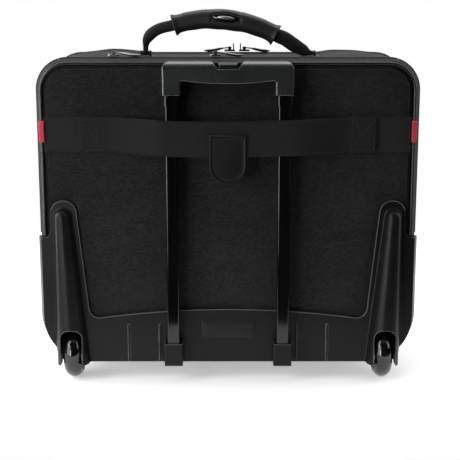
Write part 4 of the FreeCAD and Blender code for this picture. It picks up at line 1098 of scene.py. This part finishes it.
# ---- fabric across the hinges
def fold(name, path, pivot_z, ya, yb, reach, spare):
    """Lining that joins two shells along a path: narrow by their hinge, and up their sides folded inwards,
    deep enough for the shells to open as far as they do."""
    across, thick = 9, 0.8
    rows, skin = [], 0.0
    for x, z, nx, nz in path:
        deep = (z - pivot_z) * reach * smooth(abs(nx), 0.2, 1.0) + spare
        steep = deep / (deep + 3.0)
        inner, outer = [], []
        for k in range(across):
            u = k / (across - 1)
            d, y = deep * (1 - abs(2 * u - 1)) ** 0.9, ya + (yb - ya) * u
            side = (k > across // 2) - (k < across // 2)
            inner.append(Vector((x - nx * d, y, z - nz * d)))
            d += thick * (1 - steep if side else 1)
            outer.append(Vector((x - nx * d, y + side * thick * steep, z - nz * d)))
        rows.append(inner + outer[::-1])
    for a, c in zip(rows, rows[1:]):
        for k in range(across - 1):
            skin += ((a[k + 1] - a[k]).length + (c[k + 1] - c[k]).length) / 2 * (c[k] - a[k]).length
    b = Build()
    b.solid(rows)
    piece = b.piece(name, LINING, None, "lining_foam")
    length = sum((Vector(c[:2]) - Vector(a[:2])).length for a, c in zip(path, path[1:]))
    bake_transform(piece)


def folds(name, source, pivot_z, y, reach, top):
    """The strip along a hinge and the gusset at each of its ends."""
    high = [i for i in range(len(source)) if source[i][1] - pivot_z > top]
    path = source[high[-1] + 1:] + source[:high[0]]
    low = [i for i, p in enumerate(path) if p[1] - pivot_z < top * 0.06]
    parts = (("_left", path[:low[0] + 1]), ("_strip", path[low[0]:low[-1] + 1]), ("_right", path[low[-1]:]))
    for end, part in parts:
        fold(name + end, part, pivot_z, y - 4.0, y + 4.6, reach, 3.2)


folds("lid_gusset", ring(inset(BODY, WALL + 0.5)), BODY[1], SEAM, 0.235, 236)
folds("pocket_gusset", org_ring(3.4), ORG_LOW, ORG_SEAM, 0.56, 92)

# ---- zip pulls
LEAF = (                                       # distances along the pull and its half widths there
    (-2.2, 0.3), (-2.0, 1.2), (-1.0, 2.0), (1.0, 2.1), (4.0, 1.5), (7.5, 1.5), (10.0, 2.6), (13.5, 3.7),
    (18.0, 4.3), (22.5, 4.2), (26.5, 3.4), (29.5, 2.2), (31.2, 1.0), (31.5, 0.2))


def puller(node, x, y, z, side, material, droop, yaw):
    """Leaf-shaped pull: an eye round the slider's pin, a neck, and a domed leaf with a raised rim."""
    rows = []
    for along, half in LEAF:
        drop = -droop * smooth(along, 2, 26)
        domed = 0.75 + 0.95 * smooth(along, 7, 14) * smooth(31.5 - along, 0, 6)
        row = []
        for a in circle(16):
            across, up = half * cos(a), sin(a) * domed
            rim = 0.35 * smooth(abs(across) / max(half, 0.1), 0.6, 0.85) * smooth(along, 8, 12)
            high = drop + up * (1.0 - rim * 0.4) + (rim if up > 0 else 0)
            row.append(Vector((x + side * along, y + across + along * yaw, z + high)))
        rows.append(row)
    b = Build()
    b.solid(rows)
    b.piece(node + "_leaf", material, node, "zip_metal", node)


puller("rear_pull_left", -129.0, REAR_ZIP_Y, PULL_Z, 1, GUNMETAL, 3.4, -0.10)
puller("rear_pull_right", -14.0, REAR_ZIP_Y, PULL_Z, 1, GUNMETAL, 3.4, 0.08)
puller("main_pull_left", 2.0, MAIN_ZIP_Y, PULL_Z, -1, BLACK_METAL, 3.6, 0.06)
puller("main_pull_right", 20.0, MAIN_ZIP_Y, PULL_Z, 1, BLACK_METAL, 3.6, -0.12)
puller("pocket_pull", 60.0, ORG_SEAM, POCKET_PULL_Z, -1, BLACK_METAL, 2.2, 0.05)

# ---- springs under the release button
low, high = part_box("button_springs")
spring_y, spring_z = (low[1] + high[1]) / 2, low[2]
for s, side in SIDES:
    x, path = s * SPRING_X, []
    for t in (i / 90 for i in range(91)):
        a = 2 * pi * SPRING_TURNS * t
        path.append(Vector((x + SPRING_RADIUS * cos(a), spring_y / MM + SPRING_RADIUS * sin(a),
                            spring_z / MM - LIFT + SPRING_WIRE + SPRING_HEIGHT * t)))
    name = "button_spring_" + side
    piece = cord(name, path, SPRING_WIRE, 8, STEEL, "pull_handle", "steel", "button_springs")
    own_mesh(piece)

# ---- seams round the panels
panel_seam("back_stitch", inset(RIM, 9.0), REAR_FACE, -1, "case", back_bulge, 0.976,
           low=lambda x: 84.0 if abs(x) < 160 else 212.0)
panel_seam("lid_stitch", inset(RIM, 9.5), LID_FACE, 1, "lid", lid_bulge, 0.975)

# ---- stage, light and camera, in metres
FLOOR_RADIUS, FLOOR_Y = 0.6, 0.25
WORLD_BACK, WORLD_UP = 0.75, 0.6
WORLD_FADE = {"From Min": -0.15, "From Max": 0.85, "To Min": 0.02, "To Max": 1.0}
ELEVATION, DISTANCE, LENS = 11.8, 1.25, 85.3
TARGET = (0.0023, -0.095, 0.177)
LIGHTS = (                                     # name, place, what it faces, size, power
    ("key", (-1.3, -0.8, 1.3), (0, 0, 0.2), (0.8, 1.0), 8),
    ("fill", (1.4, -0.5, 0.9), (0, 0, 0.2), (0.5, 1.0), 4),
    ("top", (0.0, 0.25, 1.7), (0, 0, 0.2), (1.4, 1.0), 11),
    ("rim_left", (-1.1, 0.12, 0.45), (0, -0.05, 0.22), (0.35, 1.1), 9),
    ("rim_right", (1.1, 0.12, 0.45), (0, -0.05, 0.22), (0.35, 1.1), 2.5),
    ("left_wall", (-1.15, -1.05, 0.42), (0, -0.1, 0.15), (1.0, 1.1), 13),
    ("low_left", (-0.5, -0.95, 0.12), (-0.19, -0.11, 0.1), (0.15, 0.4), 2.0),
)


def put(name, data, place=(0, 0, 0), target=None):
    """An object in the scene, turned to face a target."""
    made = bpy.data.objects.new(name, data)
    bpy.context.scene.collection.objects.link(made)
    made.location = Vector(place)
    if target:
        made.rotation_euler = (Vector(target) - made.location).to_track_quat("-Z", "Y").to_euler()
    return made


def table_top():
    """A pale round table top."""
    mesh = bpy.data.meshes.new("floor")
    rim = [(FLOOR_RADIUS * cos(a), FLOOR_Y + FLOOR_RADIUS * sin(a), 0) for a in circle(96)]
    mesh.from_pydata(rim, [], [tuple(range(len(rim)))])
    s = Shade("pale_floor", grey(0.9), 0.8, specular=0.0)
    s.set(Emission_Color=(1.0, 1.0, 1.0, 1.0), Emission_Strength=0.4)
    mesh.materials.append(s.finish(s.ramp(s.noise(3, 2.0), grey(0.89), grey(0.91))))
    put("floor", mesh)


def studio():
    """A world that the camera sees as white, and that lights the case mostly from behind and above."""
    world = bpy.data.worlds.new("studio")
    bpy.context.scene.world = world
    world.use_nodes = True
    tree = world.node_tree
    place, split, fade, path = (tree.nodes.new("ShaderNode" + kind)
                                for kind in ("TexCoord", "SeparateXYZ", "MapRange", "LightPath"))
    plug(tree, split.inputs["Vector"], place.outputs["Generated"])
    behind = maths_node(tree, "MULTIPLY", split.outputs["Y"], WORLD_BACK)
    above = maths_node(tree, "MULTIPLY", split.outputs["Z"], WORLD_UP)
    fade.interpolation_type = "SMOOTHSTEP"
    plug(tree, fade.inputs["Value"], maths_node(tree, "ADD", behind, above))
    for socket, value in WORLD_FADE.items():
        fade.inputs[socket].default_value = value
    background = tree.nodes["Background"].inputs
    plug(tree, background["Strength"],
         maths_node(tree, "MAXIMUM", path.outputs["Is Camera Ray"], fade.outputs["Result"]))
    background["Color"].default_value = (1.0, 1.0, 1.0, 1.0)


table_top()
studio()
for name, place, target, size, power in LIGHTS:
    lamp = bpy.data.lights.new(name, "AREA")
    lamp.shape = "RECTANGLE"
    lamp.size, lamp.size_y = size
    lamp.energy = power
    put(name, lamp, place, target)

camera = bpy.data.cameras.new("camera")
camera.sensor_width = 36.0
camera.lens = LENS
angle = radians(ELEVATION)
bpy.context.scene.camera = put(
    "camera", camera, Vector(TARGET) + Vector((0, -cos(angle), sin(angle))) * DISTANCE, TARGET)
bpy.context.scene.view_settings.view_transform = "Standard"
